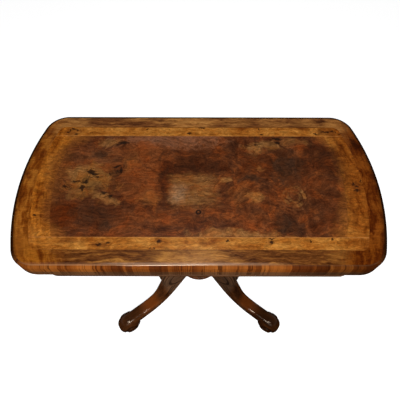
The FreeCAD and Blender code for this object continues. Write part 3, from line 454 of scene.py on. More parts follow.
def darkBand():
    bench, x, y, flat = veneerBench("darkBand", outerLook)
    loose = flat.wander(9, 0.024).wander(44, 0.01)
    rough = loose.vector("MULTIPLY", (0.5, 2, 1)).ragged(30, 1.4)
    streak = loose.noise((19, 120, 1), 6, 0.72)
    sides = streak.ramp(dark=0.38, brown=0.52, gold=0.68)
    golden = streak.ramp(brown=0.34, gold=0.46, straw=0.64)
    sides = sides.ovals(loose, outerClouds, golden, 0.7, rough)
    curl = flat.wander(16, 0.045).noise(22, 6, 0.68)
    flow = curl * 0.45 + flowAlongEnd(x, y, 0) * 0.55
    left = flow.ramp(endDark=0.39, endBrown=0.48, endGold=0.56)
    right = flow.ramp(rightDark=0.39, rightBrown=0.47, rightGold=0.56)
    toEnd = abs(x) - y * 0.22 + rough * 0.03
    colour = sides.mixed(toEnd.ease(0.325, 0.405), left.mixed(x.ease(-0.2, 0.2), right))
    # deeper along the front
    colour = colour.mixed(y.ease(-0.15, -0.19), "frontTone", "MULTIPLY")
    # gold runs on from the golden band at the front left
    spot = loose.patch((-0.412, -0.17), (0.045, 0.06), 0.9, rough * 0.5)
    colour = colour.mixed(spot * 0.45, "endGold")
    # darker beside the moulding at the ends
    colour = colour.shaded(endDistance(x, y, top["lip"]).ease(-0.01, 0.001, 1, 0.55))
    # a pale painted highlight on the band beside the front arris
    paintedLight = y.ease(-0.213, -0.2195) * x.ease(0.24, 0.06) * x.ease(-0.24, -0.17, 0.1, 0.55)
    colour = colour.mixed(paintedLight, "worn")
    pores = loose.streaks(30, 700)
    return bench.finish(colour.shaded(pores.ease(0.32, 0.68, 0.74, 1.26)), pores, **veneerPores)


frenchPolish = {"Roughness": 0.16, "Specular_Tint": (1, 0.8, 0.62)}
edgeLook = {
    "bar": (0.05, 0.011, 0.0024), "dark": (0.098, 0.0225, 0.0042), "red": (0.195, 0.049, 0.0072),
    "orange": (0.3, 0.09, 0.015), "endDark": (0.012, 0.0036, 0.0011), "worn": (0.4, 0.2, 0.09),
    "arrisGloss": 0.7,
}
lowerEdgeLook = {
    "bar": (0.045, 0.017, 0.0065), "dark": (0.07, 0.027, 0.01), "red": (0.105, 0.042, 0.015),
    "orange": (0.14, 0.057, 0.02), "endDark": (0.014, 0.005, 0.002), "worn": (0.14, 0.057, 0.02),
    "arrisGloss": 0,
}
arrisFoot = 0.724


def crossGrain(name, look):
    # short lengths of veneer side by side round the edge, grain upright; u is the way round, v the way over
    bench = Bench(name, look, **frenchPolish)
    u, v = bench.place("UV").split()[:2]
    lengths = bench.join(u, 0.37).noise(15, 2, 0.5)
    tone = bench.join(u, 0.11, 0.23).cells(45, 1).split()[0]
    share = lengths * 0.7 + tone * 0.24
    colour = share.ramp(dark=0.36, red=0.45, orange=0.58)
    bars = bench.join(u, v * 0.06).noise(150, 2, 0.6)
    thin = bench.join(u, v * 0.15).noise((420, 30, 1), 3, 0.6)
    colour = colour.mixed(bars.ease(0.43, 0.35, 0, 0.8), "bar")
    colour = colour.mixed(thin.ease(0.57, 0.68, 0, 0.8), "bar").shaded(thin.ease(0.3, 0.6, 1.14, 0.92))
    x, y, z = bench.place().split()
    # painted shade: the moulding darker towards the right end and a little towards the left, nearly black
    # round the ends and along the back
    colour = colour.shaded(x.ease(0.2, 0.32, 1, 0.5)).shaded(x.ease(-0.3, -0.37, 1, 0.8))
    atEnd = bench.maths("MAXIMUM", abs(x).ease(0.39, 0.428), y.ease(0.19, 0.215))
    colour = colour.mixed(atEnd * 0.95, "endDark")
    # the rounded arris of the top is glossy, with a pale painted highlight along the front
    facing = bench.facing()
    paintedLight = facing.ease(0.95, 0.99, 0, 0.5) * bench.maths("GREATER_THAN", z, arrisFoot)
    paintedLight = paintedLight * x.ease(-0.42, -0.36) * y.ease(-0.208, -0.216) * x.ease(0.24, 0.04, 0.15, 1)
    # the border of the playing side, which is lower down, has less gloss
    level = z.ease(arrisFoot, arrisFoot + 0.004, 0.06, look["arrisGloss"])
    bench.gloss(facing.ease(0.945, 0.985, 0, level) * atEnd.ease(1, 0.2, 0.05, 1))
    # the pale painted highlight is mixed in last
    return bench.finish(colour.mixed(paintedLight, "worn"), thin, 0.0001, 0.2)


walnutLook = {
    "dark": (0.034, 0.0105, 0.0034), "brown": (0.082, 0.0255, 0.0074), "red": (0.145, 0.046, 0.012),
    "paintedLitRidge": (0.2, 0.045, 0.0052), "paintedKneeSheen": (0.13, 0.08, 0.048), "legGloss": 0.7, "pillarGloss": 0.06,
    "footStart": 0.31, "footStop": 0.37,
}


def carvedWalnut(name, legs):
    # polished walnut for turned and carved work; grain runs along the first axis of its own place
    look = walnutLook
    bench = Bench(name, look, **frenchPolish)
    x, y, z = bench.place().split()
    place = bench.attribute("grain") if legs else bench.join(z, x, y)
    loose = place.wander(18, 0.02)
    broad = loose.noise((9, 38, 38), 4, 0.6)
    streak = loose.streaks(28, 420)
    colour = broad.ramp(dark=0.3, brown=0.52, red=0.74)
    colour = colour.shaded(streak.ease(0.3, 0.7, 0.72, 1.25))
    facing = bench.facing()
    gloss = facing.ease(0.76, 0.92, 0, look["legGloss" if legs else "pillarGloss"])
    if legs:
        # painted light makes the upper faces a warm red; the feet are darker; the knees have a grey painted
        # sheen
        along = place.split()[0]
        foot = (look["footStart"], look["footStop"])
        paintedLight = facing.ease(0.5, 0.9, 0, 0.6) * along.ease(*reversed(foot)) * along.ease(0.1, 0.2)
        colour = colour.mixed(paintedLight, "paintedLitRidge").shaded(along.ease(*foot, 1, 0.55))
        # grey painted sheen on the knees
        colour = colour.mixed(along.ease(0.14, 0.095, 0, 0.45), "paintedKneeSheen")
        # painted shade makes the right-hand legs darker and darkens the carved lines
        colour = colour.shaded(x.ease(-0.03, 0.05, 1, along.ease(*foot, 0.58, 0.78)))
        colour = colour.shaded(bench.attribute("hollow", "Fac").ease(0.15, 0.85, 1.06, 0.42))
        # rubbed bright low on the shin and on the toe only
        shin = along.ease(0.306, 0.318) * along.ease(0.35, 0.338)
        bright = bench.maths("MAXIMUM", shin, along.ease(0.378, 0.392, 0, 0.5))
        gloss = gloss * bench.maths("MAXIMUM", bright, 0.06)
    bench.gloss(gloss)
    # hand-cut surface: slow hollows that break the highlights, and open pores
    relief = place.noise(95, 2, 0.5) * 3 + streak * 0.3
    rough = place.noise(60, 3).ease(0.3, 0.7, 0.12, 0.22)
    return bench.finish(colour, relief, 0.0006, 0.45, rough)


friezeLook = {"dark": (0.045, 0.0175, 0.0068), "brown": (0.085, 0.034, 0.0125), "gold": (0.13, 0.052, 0.018)}


def friezeVeneer():
    bench = Bench("friezeVeneer", friezeLook, Roughness=0.26)
    x, y, z = bench.place().split()
    place = bench.join(x + y, z, 0.2).wander(12, 0.02)
    broad = place.noise((8, 60, 1), 4, 0.6)
    streak = place.streaks(24, 520)
    colour = broad.ramp(dark=0.3, brown=0.52, gold=0.76)
    bench.gloss(bench.facing().ease(0.45, 0.8, 0, 0.3))
    return bench.finish(colour.shaded(streak.ease(0.3, 0.7, 0.78, 1.2)), streak, 0.0001, 0.25)


plainLook = {"late": (0.15, 0.078, 0.034), "early": (0.27, 0.16, 0.078), "veneer": (0.1, 0.036, 0.011)}


def plainWood(name, veneered=None):
    # planed inside wood; a face between the two heights is veneered, as the playing side's border is
    bench = Bench(name, plainLook, Roughness=0.55, Specular_IOR_Level=0.12)
    place = bench.place()
    loose = place.wander(6, 0.03)
    broad = loose.noise((3, 46, 46), 4, 0.6)
    streak = loose.streaks(18, 620)
    colour = broad.ramp(late=0.32, early=0.62)
    if veneered:
        z = place.split()[2]
        inside = bench.maths("GREATER_THAN", z, veneered[0]) * bench.maths("LESS_THAN", z, veneered[1])
        colour = colour.mixed(inside, bench.scaled("veneer", broad.ease(0.3, 0.7, 0.6, 1.5)))
    return bench.finish(colour.shaded(streak.ease(0.3, 0.7, 0.82, 1.15)), streak, 0.0002, 0.4)


def clothFinish(name, dark, light, scale):
    tint = [channel / max(light) for channel in light]
    bench = Bench(name, {"dark": dark, "light": light}, Roughness=0.95, Specular_IOR_Level=0.1,
                  Sheen_Weight=0.15, Sheen_Roughness=0.5, Sheen_Tint=tint)
    x, y = bench.place().split()[:2]
    flat = bench.join(x, y)
    weave = bench.maths("SINE", x * scale) * bench.maths("SINE", y * scale) * 0.25 + 0.5
    fuzz = flat.noise(900, 4, 0.7)
    wear = flat.noise(7, 4, 0.6)
    colour = ((fuzz + wear) * 0.5 + weave * 0.1).ramp(dark=0.34, light=0.7)
    return bench.finish(colour, weave + fuzz, 0.0004, 0.5)


def metalFinish(name, dull, bright, roughness, metal=1):
    bench = Bench(name, {"dull": dull, "bright": bright}, Metallic=metal)
    place = bench.place()
    scratch = place.noise((60, 1600, 1600), 2, 0.5)
    share = scratch * 0.3 + place.noise(60, 5, 0.65) * 0.7
    rough = share.ease(0.3, 0.7, roughness + 0.15, roughness - 0.1)
    return bench.finish(share.ramp(dull=0.36, bright=0.64), scratch, 0.00005, 0.3, rough)


finishes = {
    "panel": figuredPanel(),
    "golden": goldenBand(),
    "outer": darkBand(),
    "edge": crossGrain("crossGrainEdge", edgeLook),
    "lowerEdge": crossGrain("lowerCrossGrainEdge", lowerEdgeLook),
    "legs": carvedWalnut("carvedLegWalnut", True),
    "pillar": carvedWalnut("turnedPillarWalnut", False),
    "frieze": friezeVeneer(),
    "plain": plainWood("planedWood"),
    "upperCore": plainWood("upperLeafCore", (0.7095, 0.7125)),
    "lowerCore": plainWood("lowerLeafCore", (0.7072, 0.7096)),
    "baize": clothFinish("greenBaize", (0.008, 0.034, 0.016), (0.03, 0.105, 0.05), 3600),
    "lining": clothFinish("redLining", (0.05, 0.012, 0.01), (0.12, 0.034, 0.026), 4200),
    "brass": metalFinish("agedBrass", (0.18, 0.1, 0.03), (0.56, 0.39, 0.13), 0.34),
    "iron": metalFinish("blackIron", (0.012, 0.012, 0.012), (0.055, 0.052, 0.05), 0.55, 0.7),
    "steel": metalFinish("dullSteel", (0.1, 0.095, 0.09), (0.32, 0.31, 0.3), 0.42),
}
print("finishes:", len(finishes))

# CAD nodes that stay as they are and only get a finish
dressing = {
    "panel": ("centre_panel_veneer",),
    "golden": ("inner_banding",),
    "outer": ("outer_banding",),
    "frieze": ("front_rail", "back_rail", "left_rail", "right_rail", "frame_corner_blocks", "frieze_bead"),
    "plain": ("frame_bottom_board", "well_partition", "pivot_board", "pivot_board_ledges", "stop_peg",
              "leg_dowels"),
    "upperCore": ("upper_core",),
    "lowerCore": ("lower_core",),
    "brass": ("left_hinge_upper_plate", "right_hinge_upper_plate", "left_hinge_lower_plate",
              "right_hinge_lower_plate", "left_hinge_pin", "right_hinge_pin"),
    "iron": ("pivot_plate", "pivot_stud", "pivot_washer", "pivot_nut"),
    "pillar": ("pillar_bearer",),
}
for finish, names in dressing.items():
    for name in names:
        nodes[name].data.materials.clear()
        nodes[name].data.materials.append(finishes[finish])


def inScene(name, data):
    thing = bpy.data.objects.new(name, data)
    scene.collection.objects.link(thing)
    return thing


def addPiece(name, mesh, finish, body, slot, *replaced):
    # puts a finished mesh in the scene, on its body and in place of its CAD nodes
    mesh.name = name
    mesh.materials.clear()
    mesh.materials.append(finishes[finish])
    piece = inScene(name, mesh)
    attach(piece, body)
    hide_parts(*replaced)
    return piece


def smooth(mesh, degrees=35):
    mesh.polygons.foreach_set("use_smooth", [True] * len(mesh.polygons))
    mesh.set_sharp_from_angle(angle=math.radians(degrees))
    return mesh


def evaluated(thing):
    # the object's mesh with its modifiers, as a plain mesh; the object goes
    graph = bpy.context.evaluated_depsgraph_get()
    mesh = bpy.data.meshes.new_from_object(thing.evaluated_get(graph))
    bpy.data.objects.remove(thing)
    return mesh


def meshFrom(work, name):
    # plain mesh of what has been put together in work, faces turned outward
    bmesh.ops.recalc_face_normals(work, faces=work.faces)
    mesh = bpy.data.meshes.new(name)
    work.to_mesh(mesh)
    work.free()
    return mesh


def closedTube(work, rings):
    # skin over a row of rings of points, closed at both ends
    loops = [[work.verts.new(p) for p in ring] for ring in rings]
    for low, high in zip(loops, loops[1:]):
        for n in range(len(low)):
            m = (n + 1) % len(low)
            work.faces.new((low[n], low[m], high[m], high[n]))
    work.faces.new(loops[0])
    work.faces.new(loops[-1])


def arcPoints(centreX, centreY, radius, start, stop, steps):
    angles = [start + (stop - start) * n / steps for n in range(steps + 1)]
    return [(centreX + radius * math.cos(a), centreY + radius * math.sin(a)) for a in angles]


def leafOutline(front, back, ends, corner):
    # closed line round a leaf, anticlockwise from the front right, set in from the top's own outline
    centre = top["bowCentre"]
    radius = top["bowRadius"] - ends
    low = corner - top["halfDepth"] + front
    high = top["halfDepth"] - back - corner
    lowX = centre + math.sqrt((radius - corner) ** 2 - low ** 2)
    highX = centre + math.sqrt((radius - corner) ** 2 - high ** 2)
    lowTurn = math.atan2(low, lowX - centre)
    highTurn = math.atan2(high, highX - centre)
    quarter = math.pi / 2
    right = arcPoints(lowX, low, corner, -quarter, lowTurn, top["cornerSteps"])
    right += arcPoints(centre, 0, radius, lowTurn, highTurn, top["endSteps"])[1:-1]
    right += arcPoints(highX, high, corner, highTurn, quarter, top["cornerSteps"])
    left = [(-x, y) for x, y in reversed(right)]

    def side(first, last):
        shares = [n / top["sideSteps"] for n in range(1, top["sideSteps"])]
        return [(first[0] + (last[0] - first[0]) * s, first[1] + (last[1] - first[1]) * s) for s in shares]

    return right + side(right[-1], left[0]) + left + side(left[-1], right[0])


# edge moulding of each leaf: a section run round the outline
edgeSpec = {
    "width": 0.022, "round": 0.0075, "roundSteps": 8, "softening": 0.0006, "softSteps": 3, "veneer": 0.0012,
    "thickness": 0.025,
}


def quarterRound(inset, height, radius, start, stop, steps):
    arc = arcPoints(-inset, height, radius, math.radians(start), math.radians(stop), steps)
    return [(-x, y) for x, y in arc]


def edgeSection(bottom, upper):
    # (inset, height) round the section, from the inner foot outward and over
    spec = edgeSpec
    topFace = bottom + spec["thickness"]
    soft = spec["softening"]
    big = spec["round"]
    section = [(spec["width"], bottom)]
    if upper:
        bed = topFace - spec["veneer"]
        section += quarterRound(soft, bottom + soft, soft, -90, 0, spec["softSteps"])
        section += quarterRound(big, topFace - big, big, 0, 90, spec["roundSteps"])
        section += [(top["lip"], topFace), (top["lip"], bed), (spec["width"], bed)]
    else:
        section += quarterRound(big, bottom + big, big, -90, 0, spec["roundSteps"])
        section += quarterRound(soft, topFace - soft, soft, 0, 90, spec["softSteps"])
        section += [(spec["width"], topFace)]
    return section


def travelled(line):
    # way from the first point of a closed line to each of its points, and round to the first again
    way = [0]
    for a, b in zip(line, line[1:] + line[:1]):
        way.append(way[-1] + math.dist(a, b))
    return way


def sweepRound(section):
    # mesh of the section run round the leaf, with u along the outline and v along the section, in metres
    corner = top["cornerRadius"]
    travel = travelled(leafOutline(0, 0, 0, corner))
    over = travelled(section)
    count = len(travel) - 1
    work = bmesh.new()
    uv = work.loops.layers.uv.new("way")
    rings = []
    for inset, height in section:
        line = leafOutline(inset, inset, inset, corner - inset)
        rings.append([work.verts.new((x, y, height)) for x, y in line])
    for i in range(len(section)):
        after = (i + 1) % len(section)
        for j in range(count):
            beside = (j + 1) % count
            face = work.faces.new((rings[i][j], rings[i][beside], rings[after][beside], rings[after][j]))
            marks = ((j, i), (j + 1, i), (j + 1, i + 1), (j, i + 1))
            for loop, (a, b) in zip(face.loops, marks):
                loop[uv].uv = (travel[a], over[b])
    return meshFrom(work, "moulding")


hingeSpec = {
    "centres": (-0.32, 0.32), "length": 0.06, "axisY": 0.2289, "axisZ": 0.7097, "relief": 0.0034,
    "leafWidth": 0.016, "leafThickness": 0.002, "overcut": 0.004, "knuckleEase": 0.0004, "rodSides": 24,
    "screwY": 0.2175, "screwSpacing": 0.02,
}
upperBottom = 0.71
lowerTop = 0.7094
lowerBottom = 0.6844


def seatCutter(low):
    # boxes and rods that clear the hinge leaves and knuckles
    spec = hingeSpec
    relief = spec["relief"]
    front = spec["axisY"] - relief - spec["leafWidth"]
    size = (spec["length"], spec["leafWidth"] + 2 * relief + spec["overcut"], spec["leafThickness"])
    rodLength = spec["length"] + 2 * spec["knuckleEase"]
    alongX = Matrix.Rotation(math.pi / 2, 4, "Y")
    work = bmesh.new()
    for centre in spec["centres"]:
        middle = Vector((centre, front + size[1] / 2, low + size[2] / 2))
        box = Matrix.Translation(middle) @ Matrix.Diagonal((*size, 1))
        bmesh.ops.create_cube(work, size=1, matrix=box)
        turn = Matrix.Translation((centre, spec["axisY"], spec["axisZ"])) @ alongX
        bmesh.ops.create_cone(work, cap_ends=True, segments=spec["rodSides"], radius1=relief, radius2=relief,
                              depth=rodLength, matrix=turn)
    return inScene("seats", meshFrom(work, "seats"))


def cutMoulding(section, low):
    blank = inScene("blank", sweepRound(section))
    cut = blank.modifiers.new("seats", "BOOLEAN")
    cut.operation = "DIFFERENCE"
    cut.solver = "EXACT"
    cut.use_self = True
    cutter = seatCutter(low)
    cut.object = cutter
    mesh = evaluated(blank)
    bpy.data.objects.remove(cutter)
    return smooth(mesh)


addPiece("upperEdgeMoulding", cutMoulding(edgeSection(upperBottom, True), upperBottom),
         "edge", "upper_leaf", "walnut_crossgrain", "upper_lipping")
lowerSeat = lowerTop - hingeSpec["leafThickness"]
addPiece("lowerEdgeMoulding", cutMoulding(edgeSection(lowerBottom, False), lowerSeat),
         "lowerEdge", "lower_leaf", "walnut_crossgrain", "lower_lipping")
print("edge mouldings")


# turned pillar: each corner is radius, height and sag of the arc to the next corner, outward above 0 (mm)
shaftCorners = (
    (0, 335, 0), (51.5, 335, 1.8), (51.5, 342.5, 0), (48, 343.5, 0), (48, 345.5, -6), (33.5, 371, 0),
    (37.5, 372.5, 2.2), (37.5, 379.5, 0), (33.5, 381, 9.5), (52, 439, 8.5), (29, 513, 0), (33, 514.5, 2),
    (33, 520.5, 0), (27, 522, -0.6), (27, 544.5, -4.5), (41, 563, 0), (43, 564.5, 1.6), (43, 570.5, 0),
    (40, 571.5, 0), (40, 577, 0), (0, 577, 0),
)
capitalCorners = (
    (0, 576.8, 0), (46, 576.8, 0), (62, 577.2, 3), (70, 586.2, 0), (67.2, 587, 0), (67.2, 589, 0),
    (72, 589.6, 1.4), (72, 596.5, 0), (70, 598.9, 0), (0, 598.9, 0),
)
hubCorners = (
    (0, 192, 0), (70, 192, 2.2), (76, 198, 1.4), (74.5, 205.5, 0), (70.5, 206.8, 0), (70.5, 209, -1.6),
    (69, 224, 2), (69, 283, 0), (71.2, 284.2, 2.2), (71.2, 292.2, 0), (68.5, 293.6, 0), (68.5, 300, 6.5),
    (52, 334.5, 0), (0, 335, 0),
)
dropCorners = (
    (0, 145, 4.2), (20, 150, 3.8), (23.8, 159, 2.6), (16, 170.5, 0), (15, 171.2, -1.5), (15, 180, 0),
    (18, 181.2, 1), (18, 184.6, 0), (38.5, 185.2, 1), (40, 189, 0), (40, 192.1, 0), (0, 192.1, 0),
)
lobeSpec = {"count": 12, "depth": 0.0034, "low": 0.384, "high": 0.512, "fade": 0.6, "fullness": 0.7}


def turnedProfile(corners, steps=10):
    corners = [[value * mm for value in corner] for corner in corners]
    line = []
    for (r, z, sag), (nextR, nextZ, _) in zip(corners, corners[1:]):
        line.append((r, z))
        if sag:
            chord = Vector((nextR - r, nextZ - z))
            outward = Vector((chord.y, -chord.x)).normalized()
            for n in range(1, steps):
                share = n / steps
                bulge = outward * (4 * sag * share * (1 - share))
                line.append((r + chord.x * share + bulge.x, z + chord.y * share + bulge.y))
    line.append(corners[-1][:2])
    return line


def shaftLobes(angle, z):
    # melon lobes on the vase, fading out at its ends
    spec = lobeSpec
    share = (z - spec["low"]) / (spec["high"] - spec["low"])
    if not 0 < share < 1:
        return 0
    fade = math.sin(math.pi * share) ** spec["fade"]
    return -spec["depth"] * fade * (1 - abs(math.cos(spec["count"] * angle / 2)) ** spec["fullness"])


def turned(name, corners, node, steps=96, lobes=None):
    # solid of revolution, closed at both ends; lobes gives the radial change at an angle and height
    work = bmesh.new()
    rings = []
    for r, z in turnedProfile(corners):
        ring = []
        for n in range(steps if r else 1):
            a = 2 * math.pi * n / steps
            reach = r + (lobes(a, z) if lobes else 0)
            ring.append(work.verts.new((reach * math.cos(a), reach * math.sin(a), z)))
        rings.append(ring)
    for low, high in zip(rings, rings[1:]):
        for n in range(steps):
            m = (n + 1) % steps
            corner = [low[n % len(low)], low[m % len(low)], high[m % len(high)], high[n % len(high)]]
            distinct = list(dict.fromkeys(corner))
            if len(distinct) > 2:
                work.faces.new(distinct)
    addPiece(name, smooth(meshFrom(work, name), 40), "pillar", "stand", "walnut", node)


turned("turnedShaft", shaftCorners, "pillar_shaft", 144, shaftLobes)
turned("turnedCapital", capitalCorners, "pillar_capital")
turned("turnedHub", hubCorners, "pillar_hub")
turned("turnedDrop", dropCorners, "hub_drop", 64)
print("pillar")


# carved legs: one is shaped in the plane of X and Z, then turned to its four places
legSpec = {
    "turn": 35.3, "root": (0.063, 0.2575), "rootSlope": 48.2, "rootPull": 0.228, "foot": (0.332, 0.06),
    "footSlope": 2.4, "footPull": 0.187, "rootDepth": 0.106, "ankleDepth": 0.042, "rootWidth": 0.05,
    "width": 0.047, "lean": 15, "ankleShare": 0.65, "corner": 0.012, "voxel": 0.0016, "smoothing": 0.5,
    "smoothRounds": 4, "grainLength": 0.4, "grainShift": (0, 0.3, 0.2),
}
kneeSpec = {"centre": (0.108, 0.255), "reach": 0.057, "height": 0.066, "half": 0.028, "bend": 0.009}
toeSpec = {"centre": (0.332, 0.04), "reach": 0.0425, "height": 0.0425, "half": 0.031, "bend": 0.026}
eyeSpec = {"centre": (0.332, 0.04), "reach": 0.0225, "height": 0.0225, "half": 0.0345, "bend": 0.004}


def downhill(slope, pull):
    return np.array([math.cos(math.radians(slope)), -math.sin(math.radians(slope))]) * pull


def legLine(share):
    spec = legSpec
    root = np.array(spec["root"])
    foot = np.array(spec["foot"])
    first = root + downhill(spec["rootSlope"], spec["rootPull"])
    last = foot - downhill(spec["footSlope"], spec["footPull"])
    rest = 1 - share
    return rest ** 3 * root + 3 * share * rest ** 2 * first + 3 * share ** 2 * rest * last + share ** 3 * foot


def legSection(share):
    # middle, up direction, half depth and half width of the leg at this share of its length
    spec = legSpec
    ease = (1 + math.cos(math.pi * min(share / spec["ankleShare"], 1))) / 2
    lean = math.radians(spec["lean"]) * math.sin(math.pi * share)
    depth = spec["ankleDepth"] + (spec["rootDepth"] - spec["ankleDepth"]) * ease
    width = spec["width"] + (spec["rootWidth"] - spec["width"]) * ease
    return legLine(share), np.array([math.sin(lean), math.cos(lean)]), depth / 2, width / 2


def legBar(work, steps=80, around=48):
    rings = []
    for n in range(steps + 1):
        middle, upward, deep, wide = legSection(n / steps)
        bend = min(legSpec["corner"], 0.9 * deep, 0.9 * wide)
        ring = []
        for k in range(around):
            a = 2 * math.pi * (k + 0.5) / around
            high = math.copysign(deep - bend, math.sin(a)) + bend * math.sin(a)
            side = math.copysign(wide - bend, math.cos(a)) + bend * math.cos(a)
            point = middle + upward * high
            ring.append((point[0], side, point[1]))
        rings.append(ring)
    closedTube(work, rings)


def softDisc(work, centre, reach, height, half, bend, around=72, rim=8):
    # flat oval drum across the leg with rounded rims
    turns = [2 * math.pi * k / around for k in range(around)]
    rings = []
    for sign in (-1, 1):
        for a in sorted(sign * math.pi / 2 * n / rim for n in range(rim + 1)):
            grow = bend * (math.cos(a) - 1)
            y = math.copysign(half - bend, sign) + bend * math.sin(a)
            wide = reach + grow
            high = height + grow
            rings.append([(centre[0] + wide * math.cos(t), y, centre[1] + high * math.sin(t)) for t in turns])
    closedTube(work, rings)


def legBlank():
    work = bmesh.new()
    legBar(work)
    for disc in (kneeSpec, toeSpec, eyeSpec):
        softDisc(work, **disc)
    blank = inScene("legBlank", meshFrom(work, "legBlank"))
    whole = blank.modifiers.new("whole", "REMESH")
    whole.mode = "VOXEL"
    whole.voxel_size = legSpec["voxel"]
    soft = blank.modifiers.new("soft", "SMOOTH")
    soft.factor = legSpec["smoothing"]
    soft.iterations = legSpec["smoothRounds"]
    return evaluated(blank)


def step(value, low, high):
    share = np.clip((value - low) / (high - low), 0, 1)
    return share * share * (3 - 2 * share)


def pulse(value, centre, half):
    # smooth bump of height 1 round centre
    return step(half - np.abs(value - centre), 0, half)


def waves(value, pitch):
    return 0.5 + 0.5 * np.cos(2 * np.pi * value / pitch)


def scroll(rho, z, disc, turns):
    # 1 along a spiral line from the middle of an oval to its rim, and how far out each point is
    dx = (rho - disc["centre"][0]) / disc["reach"]
    dz = (z - disc["centre"][1]) / disc["height"]
    out = np.sqrt(dx * dx + dz * dz)
    phase = (np.arctan2(dz, dx) / (2 * np.pi) + turns * out) % 1
    line = np.maximum(pulse(phase, 0, 0.22), pulse(phase, 1, 0.22))
    return line * step(out, 0.1, 0.22) * step(out, 1, 0.86), out


def readVectors(data, label):
    values = np.empty(len(data) * 3)
    data.foreach_get(label, values)
    return values.reshape(-1, 3)


def nearestSections(away, middles, ups, batch=20000):
    # number of the leg's section that each point of the plane lies on
    nearest = np.empty(len(away), int)
    for first in range(0, len(away), batch):
        delta = away[first:first + batch, None, :] - middles[None]
        cross = np.abs(delta[..., 0] * ups[:, 1] - delta[..., 1] * ups[:, 0])
        nearest[first:first + batch] = np.argmin(cross + 0.15 * np.linalg.norm(delta, axis=-1), axis=1)
    return nearest


# carving: depths of the lines, pitch of flutes and veins, and the depth at which a line takes full painted
# shade
carving = {
    "kneeScroll": 0.0032, "kneeTurns": 1.6, "toeScroll": 0.0024, "toeTurns": 1.5, "underline": 0.002,
    "line": 0.0022, "lineLevels": (-0.05, 0.42), "flute": 0.0022, "flutePitch": 0.0125, "vein": 0.0012,
    "veinPitch": 0.0085, "fullShadeDepth": 0.0022, "sections": 161,
}


def carveLeg(mesh):
    spec = carving
    spot = readVectors(mesh.vertices, "co")
    facing = readVectors(mesh.vertex_normals, "vector")
    rho, y, z = spot.T
    away = np.stack([rho, z], -1)
    shares = np.linspace(0, 1, spec["sections"])
    middles, ups, deeps = (np.array(rows) for rows in zip(*[legSection(s)[:3] for s in shares]))
    nearest = nearestSections(away, middles, ups)
    along = shares[nearest]
    level = np.sum((away - middles[nearest]) * ups[nearest], axis=1) / deeps[nearest]
    across = np.abs(facing[:, 1])
    sideways = step(across, 0.55, 0.85)
    upwards = step(facing[:, 2], 0.1, 0.55)
    knee, kneeOut = scroll(rho, z, kneeSpec, spec["kneeTurns"])
    toe, toeOut = scroll(rho, z, toeSpec, spec["toeTurns"])
    onKnee = step(kneeOut, 1.06, 0.98)
    onToe = step(toeOut, 1.1, 1)
    bar = (1 - onKnee) * (1 - onToe)
    depth = spec["kneeScroll"] * knee * sideways * onKnee
    depth += spec["toeScroll"] * toe * step(across, 0.35, 0.7) * onToe
    # a line low along each side, and two that run down from the knee
    low = pulse(level, -0.52, 0.17) * step(along, 0.16, 0.26) * step(along, 0.9, 0.82)
    depth += spec["underline"] * low * sideways * bar
    fade = step(along, 0.12, 0.2) * step(along, 0.52, 0.3)
    for line in spec["lineLevels"]:
        depth += spec["line"] * pulse(level + 0.9 * (along - 0.3), line, 0.2) * sideways * bar * fade
    # flutes over the knee, veins of a leaf on the shin
    crown = step(kneeOut, 0.9, 0.97) * (1 - step(across, 0.5, 0.8)) * step(z, 0.18, 0.205)
    depth += spec["flute"] * waves(y, spec["flutePitch"]) * crown
    leaf = step(along, 0.3, 0.36) * step(along, 0.62, 0.4) * upwards * bar
    depth += spec["vein"] * waves(np.abs(y) + 0.09 * (along - 0.33), spec["veinPitch"]) * leaf
    spot -= facing * depth[:, None]
    spot[:, 2] = np.maximum(spot[:, 2], 0)
    mesh.vertices.foreach_set("co", spot.ravel())
    grain = np.stack([along * legSpec["grainLength"], level * deeps[nearest], y], -1)
    mesh.attributes.new("grain", "FLOAT_VECTOR", "POINT").data.foreach_set("vector", grain.ravel())
    # how deep the carving is, which sets the painted shade in the lines
    hollow = np.clip(depth / spec["fullShadeDepth"], 0, 1)
    mesh.attributes.new("hollow", "FLOAT", "POINT").data.foreach_set("value", hollow)
    mesh.update()
    return mesh


turn = legSpec["turn"]
legPlaces = {"front_left": 180 + turn, "front_right": -turn, "back_left": 180 - turn, "back_right": turn}
legMesh = carveLeg(legBlank())
print("leg:", len(legMesh.polygons), "faces")
for index, (name, angle) in enumerate(legPlaces.items()):
    mesh = legMesh.copy()
    mesh.transform(Matrix.Rotation(math.radians(angle), 4, "Z"))
    # each leg has grain of its own
    layer = mesh.attributes["grain"].data
    grain = readVectors(layer, "vector") + np.array(legSpec["grainShift"]) * index
    layer.foreach_set("vector", grain.ravel())
    word = "".join(part.capitalize() for part in name.split("_"))
    addPiece("carvedLeg" + word, smooth(mesh, 60), "legs", "stand", "walnut", "leg_" + name)
print("legs")


# cloths: baize on the playing faces, lining of the well, strips that the top slides on
clothSpec = {
    "thickness": 0.0009, "border": 0.0455, "hingeBorder": 0.0245, "corner": 0.0168, "upperLow": 0.71035,
    "lowerLow": 0.70815, "rows": 6, "rowStep": 0.16, "rim": 0.00025, "cutCorner": 0.002,
    "stripWidth": 0.012, "stripEnd": 0.025,
}


def clothSlab(line, low, high):
    # thin slab of an outline, with rows of points inward so that its face isn't one polygon
    spec = clothSpec
    midX = sum(x for x, y in line) / len(line)
    midY = sum(y for x, y in line) / len(line)
    rings = [[(x, y, low) for x, y in line]]
    for n in range(spec["rows"]):
        share = 1 - spec["rowStep"] * n
        rise = high if n else high - spec["rim"]
        rings.append([(midX + (x - midX) * share, midY + (y - midY) * share, rise) for x, y in line])
    work = bmesh.new()
    closedTube(work, rings)
    return meshFrom(work, "cloth")


def layCloth(name, line, low, high, cloth, body, node):
    piece = addPiece(name, clothSlab(line, low, high), cloth, body, cloth, node)
    xs, ys = zip(*line)
    size = (max(xs) - min(xs), max(ys) - min(ys))
    area = abs(sum(a[0] * b[1] - b[0] * a[1] for a, b in zip(line, line[1:] + line[:1]))) / 2


